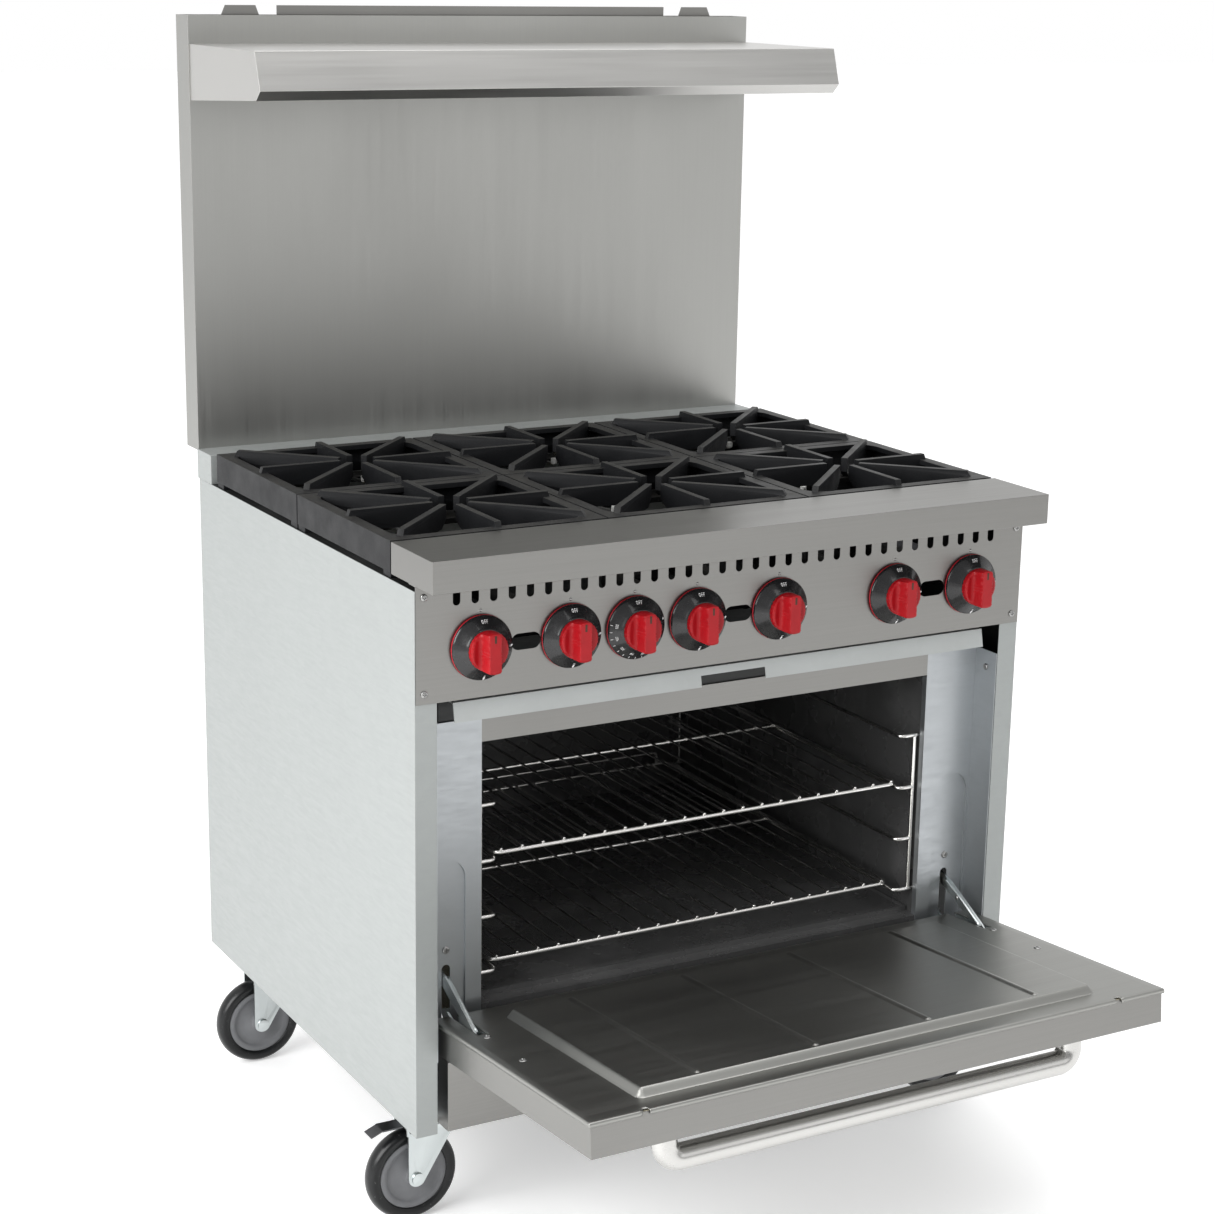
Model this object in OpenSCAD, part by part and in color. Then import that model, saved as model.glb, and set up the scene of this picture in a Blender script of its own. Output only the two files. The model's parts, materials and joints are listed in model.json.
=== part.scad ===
// Commercial gas range: six open burners over one oven, with a tall backguard, a high shelf and casters.
// Origin on the floor under the middle of the footprint with the oven door open.
// +X is the right-hand side seen from the front, the front faces -Y and +Z is up.

/* [Body] */
// Width across the side panels
body_w = 914; // [760:2:1220]
// Depth from the control panel to the rear panel
body_d = 737; // [610:1:900]
// Height of the side panels
body_h = 715; // [590:1:860]
// Thickness of the body sheet
sheet = 1.5; // [1.2:0.1:2]
// Width of the front pillars, the folded front edges of the side panels
pillar_w = 30; // [24:1:40]
// Depth of the door recess behind the pillars
recess_d = 47; // [47:1:60]
// Distance from the underside of the body to the oven sill
sill_h = 143; // [138:1:190]

/* [Controls] */
// Distance from the top of the side panels down to the bottom edge of the control panel
panel_drop = 142; // [130:1:170]
// Distance from the top of the side panels down to the knob axes
knob_drop = 78; // [66:1:84]
// Sideways distance of each burner knob from the middle of its pair
knob_offset = 62; // [54:1:70]
// How much further apart the knob pairs stand than the burner columns
control_spread = 2.5; // [0:0.5:6]
// Diameter of the knob skirt
knob_d = 82; // [60:1:84]
// Diameter of the knob grip
grip_d = 48; // [36:1:54]
// Reach of the knob in front of the panel
knob_reach = 42; // [34:1:52]
// Diameter of the valve stems
stem_d = 8; // [6:0.5:9]
// Width of the vent slots under the ledge
vent_w = 10; // [6:0.5:11]
// Distance from one vent slot to the next
vent_pitch = 25.1; // [18:0.1:30]

/* [Ledge] */
// Height of the front ledge
ledge_h = 40.3; // [30:0.1:60]
// Reach of the ledge in front of the control panel
ledge_reach = 52; // [40:1:80]
// Distance from the control panel back to the rear edge of the ledge
ledge_back = 67; // [50:1:80]

/* [Grates] */
// Depth of one grate, front to back
grate_d = 296.5; // [240:0.5:300]
// Gap between neighbouring grates
grate_gap = 2.5; // [2:0.5:6]
// Height of the grate skirt
skirt_h = 40; // [30:1:50]
// Height of the grate feet, which is also the gap under the ledge and the skirts
foot_h = 7.3; // [4:0.1:10]
// Height of the fingers above the grate frame
finger_rise = 8; // [4:1:14]
// Depth of the grate fingers
finger_h = 30; // [20:1:36]
// Thickness of the grate fingers
finger_t = 9; // [6:0.5:11]
// Diameter of the burner heads
burner_d = 92; // [76:1:110]

/* [Oven] */
// Width of the oven opening
oven_w = 686; // [560:1:690]
// Distance from the bottom edge of the control panel down to the top of the oven opening
header_drop = 75; // [70:1:90]
// Thickness of the oven insulation
insulation_t = 26; // [20:1:28]
// Diameter of the rack frame wire and the guide wire
wire_d = 6; // [5:0.5:7]
// Diameter of the rack grid wire
grid_d = 4; // [3:0.5:4.5]
// Distance from one rack guide rung to the next
rung_pitch = 76; // [60:1:90]
// Depth of the oven racks, front to back
rack_d = 612; // [480:1:620]
// Number of grid wires in a rack
grid_count = 21; // [11:2:25]

/* [Door] */
// Thickness of the oven door
door_t = 44.5; // [40:0.5:46]
// Angle from closed to the open stop
door_open = 84.85; // [80:0.05:88]
// How far the door covers the header above the opening
door_lap_top = 31; // [20:1:36]
// How far the door reaches below the oven sill
door_lap_bottom = 29; // [22:1:36]
// Height of the raised pan on the inside of the door
pan_h = 12; // [6:1:16]
// Diameter of the handle tube
handle_d = 32; // [19:1:36]
// Distance from the door face to the centre of the handle tube
handle_reach = 40; // [36:1:60]
// Width between the centres of the handle legs
handle_w = 600; // [440:1:640]

/* [Back] */
// Height of the backguard above the front ledge
backguard_h = 603; // [400:1:720]
// Thickness of the backguard
backguard_t = 47.5; // [40:0.5:60]
// Depth of the high shelf at its lip
shelf_d = 263; // [180:1:300]
// Distance from the top of the backguard down to the top of the shelf
shelf_drop = 38.6; // [20:0.1:120]

/* [Casters] */
// Height from the floor to the underside of the body
caster_h = 160; // [150:1:190]
// Diameter of the caster wheels
wheel_d = 127; // [100:1:128]
// Width of the caster wheels
wheel_w = 32; // [24:1:34]
// Trail of the wheel behind its swivel axis
caster_trail = 34; // [26:1:40]
// Inset of the swivel axes from the sides of the body
caster_inset_x = 69; // [60:1:80]
// Inset of the swivel axes from the front and the rear of the body
caster_inset_y = 95; // [70:1:110]
// Side of the square caster plates
plate_w = 92; // [80:1:100]
// Distance between the bolt holes of a caster plate
plate_pitch = 70; // [62:1:76]

/* [Hidden] */
$fn = 48;

// Clearances
seat = 0.3;          // between a loose piece and what carries it
run_gap = 0.05;      // radial gap of a pin in its bore
overlap = 1;         // how far cuts and fused shapes run past a face

// Colours
steel = [0.60, 0.60, 0.58];
pale_steel = [0.80, 0.82, 0.81];
iron = [0.13, 0.13, 0.13];
enamel = [0.06, 0.06, 0.07];
chrome_wire = [0.78, 0.78, 0.78];
zinc = [0.68, 0.74, 0.74];
brass = [0.72, 0.58, 0.30];
wool = [0.85, 0.80, 0.62];
knob_red = [0.86, 0.10, 0.13];
rubber = [0.14, 0.14, 0.15];

// Body levels and half widths
half_w = body_w / 2;
inner_w = half_w - pillar_w;
body_z = caster_h;
top_z = body_z + body_h;
panel_z = top_z - panel_drop;
panel_top = top_z + foot_h;
panel_half = half_w - 1;
knob_z = top_z - knob_drop;
open_top = panel_z - header_drop;
open_bottom = body_z + sill_h;
open_half = oven_w / 2;
post_top = panel_z - 43;
ledge_top = panel_top + ledge_h;
flange_w = 25;
rail_h = 24;
rail_w = 40;

// Door, in its own frame: the hinge axis is the origin, a runs up the closed door, b runs into the oven
door_half = inner_w - 7;
door_gap = 1.2;
pivot_inset = 25.2;
pivot_rise = 5.7;
pivot_y = recess_d - door_gap - pivot_inset;
pivot_z = open_bottom - door_lap_bottom + pivot_rise;
door_inner = pivot_inset;
door_outer = door_inner - door_t;
door_low = -pivot_rise;
door_high = open_top + door_lap_top - pivot_z;
pan_margin = 2;
pan_half = open_half - 5;
pan_low = open_bottom + 10 - pivot_z;
pan_high = open_top - pan_margin - pivot_z;
pan_slope = 9;
liner_lip = 5;
pan_bead_pitch = pan_half / 2.03;
handle_a = door_high - 42;
handle_bend = 34;

// Hinge hardware
hinge_x = inner_w - 35.5;
hinge_slot_w = 12;
claw_t = 3;
arm_t = 3;
pin_r = 3;
stay_pin_r = 3;
stay_a = 68;
stay_b = 15;
stay_length = 130;
stay_angle = 24.5;
slot_top = pivot_z + 86;
slot_low = pivot_z - 6;
strip_w = 56;
strip_depth = 3.5;
strip_top = slot_top + 115;
strip_low = slot_low - 12;
claw_y = recess_d + strip_depth + sheet - pivot_y;
cheek_t = 5;
channel_x0 = hinge_x - hinge_slot_w / 2 - cheek_t;
channel_x1 = hinge_x + hinge_slot_w / 2 + cheek_t;
channel_top = stay_a + 16;

// Kick plate stays under the open door
kick_half = inner_w - 14.5;
kick_top = pivot_z + door_outer - 5;

// Oven box
liner_half = open_half + 2;
liner_top = open_top + 2;
liner_back = body_d - sheet - insulation_t - sheet - 1;
guide_x = open_half - 28;
guide_wall_x = open_half - 5;
guide_front = recess_d + 15;
guide_back = liner_back - 8;
rung_low = open_bottom + 37;
rung_count = floor((liner_top - 60 - rung_low) / rung_pitch) + 1;
rack_seat = wire_d + seat;
rack_front = recess_d + 21;
rack_shift = min(12, liner_back - 12 - rack_front - rack_d);
floor_z = open_bottom + 2;
floor_front = recess_d + 23;
stop_h = 20;

// Cooktop
grate_half = half_w - 1.5;
grate_w = (2 * grate_half - 2 * grate_gap) / 3;
column_pitch = grate_w + grate_gap;
grate_front = ledge_back + 5.5;
row_pitch = grate_d + grate_gap;
grate_z = top_z + seat;
frame_top = grate_z + foot_h + skirt_h;
wall_t = 7;
riser_front = grate_front + 2 * row_pitch + 18;
riser_top = panel_top + ledge_h - 5.5;
burner_top = top_z + 8;
tube_z = knob_z;
tube_d = 30;
burner_drop = 46;
burner_leg_x = 90;
bar_w = 44;
bar_h = 8;
finger_clear = 26;
grate_rim = 17;
rim_round = 28;
pilot_at = [[-49, 19], [30, 45]];

// Controls
control_pitch = column_pitch + control_spread;
knob_gap = 3;
panel_face = -sheet;
manifold_y = 62;
manifold_d = 26;
nipple_d = 26.7;
nipple_reach = 36;
inlet_x = half_w - 47;
vent_count = 2 * floor((panel_half - 42) / vent_pitch) + 1;
slot_len = 41;
pilot_slot_h = 21;

// Crumb tray
tray_top = panel_z - 6;
tray_low = post_top + seat;
tray_half = open_half + 59;
tray_front = recess_d + 3;
tray_back = riser_front - 40;
notch_half = 49;
notch_h = 15;
tray_lip = 25;
tray_tilt = 12;

// Backguard and shelf
guard_half = half_w - 2;
guard_front = body_d + 6;
guard_back = guard_front + backguard_t;
guard_low = ledge_top - 8;
guard_top = ledge_top + backguard_h;
baffle_y = guard_front + 18;
strut_t = 3;
tab_h = 13.5;
shelf_half = guard_half - 1.5;
shelf_top = guard_top - shelf_drop;
shelf_front = guard_front - shelf_d;

// Casters
plate_t = 3;
plate_trim = 3;
race_low = 137.5 + caster_h - 160;
wheel_r = wheel_d / 2;
axle_r = 5;
kingpin_r = 6;
leg_t = 3;
leg_gap = 3;
leg_in = wheel_w / 2 + leg_gap;
swivel_x = half_w - caster_inset_x;
swivel_front = caster_inset_y;
swivel_rear = body_d - caster_inset_y;
fork_top = race_low - seat;
fork_t = 5;
brake_pin_r = 3;
brake_x = caster_trail + 8;
brake_z = fork_top - 6;
pedal_half = 12;

// The footprint's middle, with the door open, is the origin
door_tip = pivot_y + door_outer * cos(door_open) - (door_high - sheet) * sin(door_open);
front_y = -(door_tip + guard_back) / 2;

// Helpers
module block(low, high) translate(low) cube(high - low);
module placed() translate([0, front_y, 0]) children();
module both_sides() {
    children();
    mirror([1, 0, 0]) children();
}
module on_door() translate([0, front_y + pivot_y, pivot_z]) rotate([door_open, 0, 0]) children();
module rod(from, to, d) {
    run = to - from;
    lean = acos(run[2] / norm(run));
    translate(from) rotate([0, lean, atan2(run[1], run[0])]) cylinder(d = d, h = norm(run));
}
module along_y(d, h) rotate([-90, 0, 0]) cylinder(d = d, h = h);
module along_x(d, h) rotate([0, 90, 0]) cylinder(d = d, h = h);
module slot_y(w, len, h) {
    translate([0, 0, -(len - w) / 2]) along_y(w, h);
    translate([0, 0, (len - w) / 2]) along_y(w, h);
    translate([-w / 2, 0, -(len - w) / 2]) cube([w, h, len - w]);
}

// Side panel: outer skin, front pillar, top, bottom and rear flanges folded inwards
module side_panel() color(pale_steel) placed() {
    block([half_w - sheet, 0, body_z], [half_w, body_d, top_z]);
    block([inner_w, 0, body_z], [half_w, sheet, top_z]);
    block([half_w - flange_w, 0, top_z - sheet], [half_w, body_d - sheet, top_z]);
    block([half_w - flange_w, 0, body_z], [half_w, body_d - sheet, body_z + sheet]);
    block([half_w - flange_w, body_d - 2 * sheet, body_z], [half_w, body_d - sheet, top_z]);
}

module side_panel_right() side_panel();
module side_panel_left() mirror([1, 0, 0]) side_panel();

module rear_panel() color(pale_steel) placed() difference() {
    block([-half_w + sheet, body_d - sheet, body_z], [half_w - sheet, body_d, top_z]);
    translate([inlet_x, body_d - sheet - overlap, tube_z]) along_y(nipple_d + 4, sheet + 2 * overlap);
}

// Rails under the body, with a pad over each caster
module base_frame() color(zinc) placed() {
    z0 = body_z + sheet;
    z1 = body_z + sheet + rail_h;
    block([-half_w + flange_w, recess_d, z0], [half_w - flange_w, recess_d + rail_w, z1]);
    block([-half_w + flange_w, body_d - 2 * sheet - rail_w, z0], [half_w - flange_w, body_d - 2 * sheet, z1]);
    both_sides() {
        block([swivel_x - rail_w / 2, recess_d, z0], [swivel_x + rail_w / 2, body_d - 2 * sheet, z1]);
        for (y = [swivel_front, swivel_rear])
            block([swivel_x - plate_w / 2, y - plate_w / 2, body_z],
                [swivel_x + plate_w / 2 - plate_trim, y + plate_w / 2, z0]);
    }
    block([-rail_w / 2, recess_d, z0], [rail_w / 2, body_d - 2 * sheet, z1]);
}

module kick_plate() color(steel) placed() {
    block([-kick_half, 0, body_z], [kick_half, sheet, kick_top]);
    block([-kick_half, 0, body_z], [kick_half, recess_d, body_z + sheet]);
    block([-kick_half, 0, kick_top - sheet], [kick_half, 12, kick_top]);
    both_sides() block([kick_half - sheet, 0, body_z], [kick_half, recess_d, kick_top]);
}

// Hinge posts: faces beside the oven opening, each with a strip pressed inwards and the stay arm's slot
module strip_outline(inset, top) {
    w = strip_w - 2 * inset;
    intersection() {
        translate([hinge_x + 2, 0]) {
            translate([0, strip_top]) circle(d = w);
            translate([-w / 2, strip_low + inset]) square([w, strip_top - strip_low - inset]);
        }
        square([inner_w - sheet - inset, top]);
    }
}
module strip_solid(inset, low, high) translate([0, high, 0]) rotate([90, 0, 0]) linear_extrude(high - low)
    strip_outline(inset, post_top);
module hinge_post() difference() {
    union() {
        difference() {
            block([open_half, recess_d, body_z + sheet + rail_h], [inner_w, recess_d + sheet, post_top]);
            strip_solid(0, recess_d - overlap, recess_d + sheet + overlap);
        }
        difference() {
            strip_solid(-sheet, recess_d, recess_d + strip_depth + sheet);
            strip_solid(0, recess_d - overlap, recess_d + strip_depth);
        }
        block([inner_w - sheet, sheet, kick_top + 2], [inner_w, recess_d + sheet, post_top]);
        block([open_half, recess_d, open_bottom], [open_half + sheet, recess_d + 10, liner_top]);
    }
    translate([hinge_x, recess_d - overlap, (slot_top + slot_low) / 2])
        slot_y(hinge_slot_w, slot_top - slot_low, strip_depth + sheet + 2 * overlap);
}

// Runner: an angle from the post back to the rear panel, which carries the crumb tray
module tray_runner() {
    block([tray_half - 27, recess_d, post_top - sheet], [tray_half - 7, body_d - sheet, post_top]);
    block([tray_half - 7 - sheet, recess_d, post_top - 12], [tray_half - 7, body_d - sheet, post_top]);
}
module hinge_posts() color(zinc) placed() both_sides() {
    hinge_post();
    tray_runner();
}

module oven_header() color(steel) placed() {
    block([-open_half, recess_d, open_top], [open_half, recess_d + sheet, post_top]);
    block([-open_half, recess_d, open_top], [open_half, recess_d + 20, open_top + sheet]);
    block([-open_half, recess_d, post_top - sheet], [open_half, recess_d + 20, post_top]);
}

// Control positions: knob x values from left to right, the oven thermostat third
function knob_x(i) = [-control_pitch - knob_offset, -control_pitch + knob_offset,
    -control_pitch / 2, -knob_offset, knob_offset,
    control_pitch - knob_offset, control_pitch + knob_offset][i];

module control_panel() color(steel) placed() difference() {
    union() {
        block([-panel_half, panel_face, panel_z], [panel_half, 0, panel_top]);
        block([-inner_w + 1, panel_face, panel_z], [inner_w - 1, 18, panel_z + sheet]);
        block([-panel_half, panel_face, panel_top - sheet], [panel_half, 18, panel_top]);
    }
    for (i = [0:6]) translate([knob_x(i), -10, knob_z]) along_y(stem_d + 6, 20);
    for (c = [-1:1]) translate([c * control_pitch, -10, knob_z]) rotate([0, 90, 0])
        slot_y(pilot_slot_h, slot_len, 20);
    for (i = [0:vent_count - 1]) translate([(i - (vent_count - 1) / 2) * vent_pitch, -10, top_z - 13])
        slot_y(vent_w, 19, 20);
    both_sides() for (z = [top_z - 8, panel_z + 13]) translate([half_w - 12, -10, z]) along_y(4.4, 20);
}

// Front ledge: a folded cap with closed ends
module front_ledge() color(steel) placed() difference() {
    block([-half_w, -ledge_reach, panel_top], [half_w, ledge_back, ledge_top]);
    block([-half_w + sheet, -ledge_reach + sheet, panel_top - overlap], [half_w - sheet, ledge_back - sheet,
        ledge_top - sheet]);
}

// Frame that carries the inner feet of the grates
module top_frame() color(iron) placed() {
    x1 = half_w - flange_w - seat;
    y0 = ledge_back - 10;
    y2 = riser_front + 12;
    ym = grate_front + row_pitch - grate_gap / 2;
    z0 = top_z - bar_h;
    block([-x1, y0, z0], [x1, grate_front + 22, top_z]);
    block([-x1, y2 - 44, z0], [x1, y2, top_z]);
    block([-x1, ym - bar_w / 2, z0], [x1, ym + bar_w / 2, top_z]);
    both_sides() {
        block([column_pitch / 2 - bar_w / 2, y0, z0], [column_pitch / 2 + bar_w / 2, y2, top_z]);
        block([x1 - 12, y0, z0], [x1, y2, top_z]);
        block([x1, y0, z0], [half_w - sheet, y0 + 30, top_z - sheet]);
        block([x1, y2 - 30, z0], [half_w - sheet, y2, top_z - sheet]);
    }
}

module rear_riser() color(pale_steel) placed() difference() {
    block([-half_w, riser_front, top_z], [half_w, guard_front, riser_top]);
    block([-half_w + sheet, riser_front + sheet, top_z - overlap], [half_w - sheet, guard_front + overlap,
        riser_top - sheet]);
}

// Backguard: a flat duct, open at the top and the bottom, that carries the flue gases up
module backguard() color(steel) placed() {
    difference() {
        block([-guard_half, guard_front, guard_low], [guard_half, guard_back, guard_top]);
        block([-guard_half + sheet, guard_front + sheet, guard_low - overlap],
            [guard_half - sheet, guard_back - sheet, guard_top + overlap]);
    }
    both_sides() {
        block([half_w - 40, body_d, top_z - 60], [half_w - 4, guard_front + strut_t, top_z]);
        block([half_w - 40, guard_front, top_z - 60],
            [half_w - 4, guard_front + strut_t, guard_low + 2 * sheet]);
    }
}

// Flue baffle: a sheet inside the duct whose top edge shows as a strip between two tabs
module flue_baffle() color(steel) placed() {
    block([-guard_half + sheet, baffle_y, guard_top - 160],
        [guard_half - sheet, baffle_y + sheet, guard_top - 0.5]);
    block([-guard_half + 139, baffle_y, guard_top - 2],
        [guard_half - 139, baffle_y + sheet, guard_top + tab_h]);
    both_sides() translate([guard_half - 84, baffle_y + sheet, guard_top - 2]) rotate([90, 0, 0])
        linear_extrude(sheet) polygon([[-29, 0], [29, 0], [22, tab_h + 2], [-23, tab_h + 2]]);
}

// High shelf: top, leaning front, chamfer and end brackets
function shelf_outline() = [[guard_front, shelf_top], [shelf_front + 17, shelf_top],
    [shelf_front, shelf_top - 51], [shelf_front + 14.5, shelf_top - 64], [guard_front, shelf_top - 77]];
function shelf_hollow() = [[guard_front - 3, shelf_top - sheet],
    [shelf_front + 17 + sheet, shelf_top - sheet],
    [shelf_front + sheet + 0.3, shelf_top - 51], [shelf_front + 14.5 + sheet, shelf_top - 64 + sheet],
    [shelf_front + 30, shelf_top - 64 + sheet], [shelf_front + 30, shelf_top - 120],
    [guard_front - 3, shelf_top - 120]];
module shelf_profile(points, half) translate([-half, 0, 0]) rotate([90, 0, 90])
    linear_extrude(2 * half) polygon(points);
module high_shelf() color(steel) placed() difference() {
    shelf_profile(shelf_outline(), shelf_half);
    shelf_profile(shelf_hollow(), shelf_half - sheet);
}

// Gas train
module gas_manifold() color(zinc) placed() {
    translate([-control_pitch - knob_offset - 30, manifold_y, tube_z])
        along_x(manifold_d, control_pitch + knob_offset + 30 + inlet_x);
    translate([inlet_x, manifold_y, tube_z]) sphere(d = manifold_d);
    translate([inlet_x, manifold_y, tube_z]) along_y(manifold_d, body_d - 9 - manifold_y);
    translate([inlet_x, body_d - 10, tube_z]) along_y(nipple_d, nipple_reach + 10);
    for (x = [-1, 1] * control_pitch / 2)
        block([x - 8, manifold_y - 1.5, tube_z], [x + 8, manifold_y + 1.5, top_z - bar_h]);
}

module gas_valve() difference() {
    union() {
        translate([0, 20, 0]) along_y(22, manifold_y - 20 - manifold_d / 2 + 0.4);
        translate([0, 30, 0]) along_y(30, 12);
    }
    translate([0, 20 - overlap, 0]) along_y(stem_d + 2 * run_gap, 18);
}
module gas_valves() color(brass) placed() difference() {
    union() {
        for (i = [0, 1, 3, 4, 5, 6]) translate([knob_x(i), 0, knob_z]) gas_valve();
        translate([knob_x(2), 0, knob_z]) difference() {
            block([-24, 20, -26], [24, manifold_y - manifold_d / 2 + 3, 26]);
            translate([0, 20 - overlap, 0]) along_y(stem_d + 2 * run_gap, 18);
        }
    }
    translate([-control_pitch - knob_offset - 40, manifold_y, tube_z])
        along_x(manifold_d + 2 * seat, control_pitch + knob_offset + 40 + inlet_x);
}

// Burner: round head over a neck, fed by a mixing tube beside the column's middle
function column_x(c) = (c - 1) * column_pitch;
function row_y(r) = grate_front + grate_d / 2 + r * row_pitch;
module burner(c, r) {
    x = column_x(c);
    y = row_y(r);
    side = r == 0 ? -1 : 1;
    feed = control_pitch * (c - 1) + side * knob_offset;
    translate([x, y, burner_top - 22]) cylinder(d = burner_d, h = 14);
    translate([x, y, burner_top - 8]) cylinder(d1 = burner_d - 12, d2 = burner_d - 34, h = 8);
    translate([x, y, tube_z]) cylinder(d = tube_d, h = burner_top - 20 - tube_z);
    translate([x, y, tube_z]) sphere(d = tube_d);
    rod([feed, y, tube_z], [x, y, tube_z], tube_d);
    translate([feed, y, tube_z]) sphere(d = tube_d);
    translate([feed, manifold_y + 24, tube_z]) along_y(tube_d, y - manifold_y - 24);
    translate([feed, manifold_y + manifold_d / 2 + seat, tube_z]) along_y(tube_d + 8, 26);
}
module burners() color(iron) placed() for (c = [0:2]) for (r = [0:1]) burner(c, r);

// Pilots: a thin tube beside each burner, standing on the middle and rear bars of the top frame
module pilots() color(zinc) placed() for (c = [0:2]) for (r = [0:1]) {
    foot = [column_x(c) + pilot_at[r][0], row_y(r) + grate_d / 2 - 12, top_z];
    tip = [foot[0], row_y(r) + pilot_at[r][1], top_z + 12];
    translate(foot) cylinder(d = 8, h = 6);
    rod(foot + [0, 0, 5], tip, 5);
    translate(tip - [0, 0, 3]) cylinder(d = 9, h = 12);
}

// Oven box: a liner open at the front and cut open over the burner, with a sill down to the front rail
module oven_liner() color(enamel) placed() {
    difference() {
        block([-liner_half - sheet, recess_d + sheet, open_bottom - sheet],
            [liner_half + sheet, liner_back + sheet, liner_top + sheet]);
        block([-liner_half, recess_d, open_bottom], [liner_half, liner_back, liner_top]);
        block([-open_half + 40, floor_front + 40, open_bottom - 2 * sheet],
            [open_half - 40, liner_back - 40, open_bottom + overlap]);
    }
    block([-liner_half, recess_d + sheet, body_z + sheet + rail_h],
        [liner_half, recess_d + 2 * sheet, open_bottom]);
}
module oven_insulation() color(wool) placed() difference() {
    block([-liner_half - sheet - insulation_t, recess_d + 26, open_bottom - 26],
        [liner_half + sheet + insulation_t, liner_back + sheet + insulation_t, post_top - 8]);
    block([-liner_half - sheet, recess_d, open_bottom - 30], [liner_half + sheet, liner_back + sheet,
        liner_top + sheet]);
}
module oven_floor() color(enamel) placed() {
    block([-liner_half + 2, floor_front, open_bottom], [liner_half - 2, liner_back - 2, floor_z]);
    block([-liner_half + 2, floor_front, open_bottom], [liner_half - 2, floor_front + 2, floor_z + 5]);
    both_sides() block([liner_half - 4, floor_front, open_bottom],
        [liner_half - 2, liner_back - 2, floor_z + 5]);
}

// Oven burner: two legs of tube with a mixing tube, on brackets from the base rails
module oven_burner() color(iron) placed() {
    z = open_bottom - burner_drop;
    y0 = floor_front + 90;
    y1 = liner_back - 70;
    both_sides() translate([burner_leg_x, y0, z]) along_y(28, y1 - y0);
    for (y = [y0 + 30, y1 - 30]) {
        translate([-burner_leg_x, y, z]) along_x(24, 2 * burner_leg_x);
        block([-9, y - 10, body_z + sheet + rail_h], [9, y + 10, z]);
    }
    translate([0, y0 - 40, z]) along_y(26, 70);
}

// Rack guides: rungs bent from wire, one frame on each side wall
module rack_guide() {
    zs = [for (k = [0:rung_count - 1]) rung_low + k * rung_pitch];
    for (z = zs) {
        rod([guide_x, guide_front, z], [guide_x, guide_back, z], wire_d);
        for (y = [guide_front, guide_back]) {
            translate([guide_x, y, z]) sphere(d = wire_d);
            rod([guide_x, y, z], [guide_wall_x, y, z], wire_d);
        }
    }
    for (y = [guide_front, guide_back]) {
        rod([guide_wall_x, y, zs[0]], [guide_wall_x, y, zs[rung_count - 1]], wire_d);
        for (z = [zs[0], zs[rung_count - 1]]) {
            translate([guide_wall_x, y, z]) sphere(d = wire_d);
            translate([guide_wall_x, y, z]) along_x(wire_d, liner_half - guide_wall_x);
        }
    }
}
module rack_guides() color(chrome_wire) placed() both_sides() rack_guide();

// Oven rack: frame wires, grid wires on top of them and a raised stop at the back
module oven_rack(rung, shift) color(chrome_wire) placed() {
    z = rung_low + rung * rung_pitch + rack_seat;
    y0 = rack_front + shift;
    y1 = y0 + rack_d;
    grid_z = z + wire_d / 2 + grid_d / 2 - 0.7;
    grid_half = guide_x - 10;
    both_sides() {
        rod([guide_x, y0, z], [guide_x, y1, z], wire_d);
        translate([guide_x, y0, z]) sphere(d = wire_d);
        translate([guide_x, y1, z]) sphere(d = wire_d);
        rod([guide_x - 24, y1, z], [guide_x - 24, y1, z + stop_h], wire_d);
        translate([guide_x - 24, y1, z + stop_h]) sphere(d = wire_d);
    }
    for (y = [y0, y0 + rack_d / 2, y1]) translate([-guide_x, y, z]) along_x(wire_d, 2 * guide_x);
    translate([-guide_x + 24, y1, z + stop_h]) along_x(wire_d, 2 * guide_x - 48);
    for (i = [0:grid_count - 1]) {
        x = -grid_half + i * 2 * grid_half / (grid_count - 1);
        translate([x, y0 - 1, grid_z]) along_y(grid_d, rack_d + 2);
    }
}
module rack_upper() oven_rack(rung_count - 2, 0);
module rack_lower() oven_rack(0, rack_shift);

// Round-head screws that hold the panels
module screw_head(d) {
    cylinder(d = d, h = 1.2);
    translate([0, 0, 1.2]) cylinder(d1 = d, d2 = d * 0.6, h = 1.2);
}
module panel_screws() color(zinc) placed() both_sides() {
    for (z = [top_z - 8, panel_z + 13]) translate([half_w - 12, panel_face, z]) {
        rotate([90, 0, 0]) screw_head(9);
        along_y(4, sheet);
    }
    translate([hinge_x, recess_d + strip_depth, slot_top + 20]) rotate([90, 0, 0]) screw_head(10);
    translate([inner_w - sheet, sheet + 22, open_top + 8]) rotate([0, -90, 0]) screw_head(9);
}

// Casters
module caster_plate() difference() {
    union() {
        block([-plate_w / 2, -plate_w / 2, body_z - plate_t],
            [plate_w / 2 - plate_trim, plate_w / 2, body_z]);
        translate([0, 0, race_low]) cylinder(d = 54, h = body_z - plate_t - race_low);
        translate([0, 0, race_low - 9]) cylinder(r = kingpin_r, h = 12);
    }
    for (x = [-1, 1] * plate_pitch / 2) for (y = [-1, 1] * plate_pitch / 2)
        translate([x - plate_trim / 2, y, body_z - plate_t - overlap])
            cylinder(d = 9, h = plate_t + 2 * overlap);
}
module caster_plates() color(zinc) placed() both_sides() for (y = [swivel_front, swivel_rear])
    translate([swivel_x, y, 0]) caster_plate();

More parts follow.
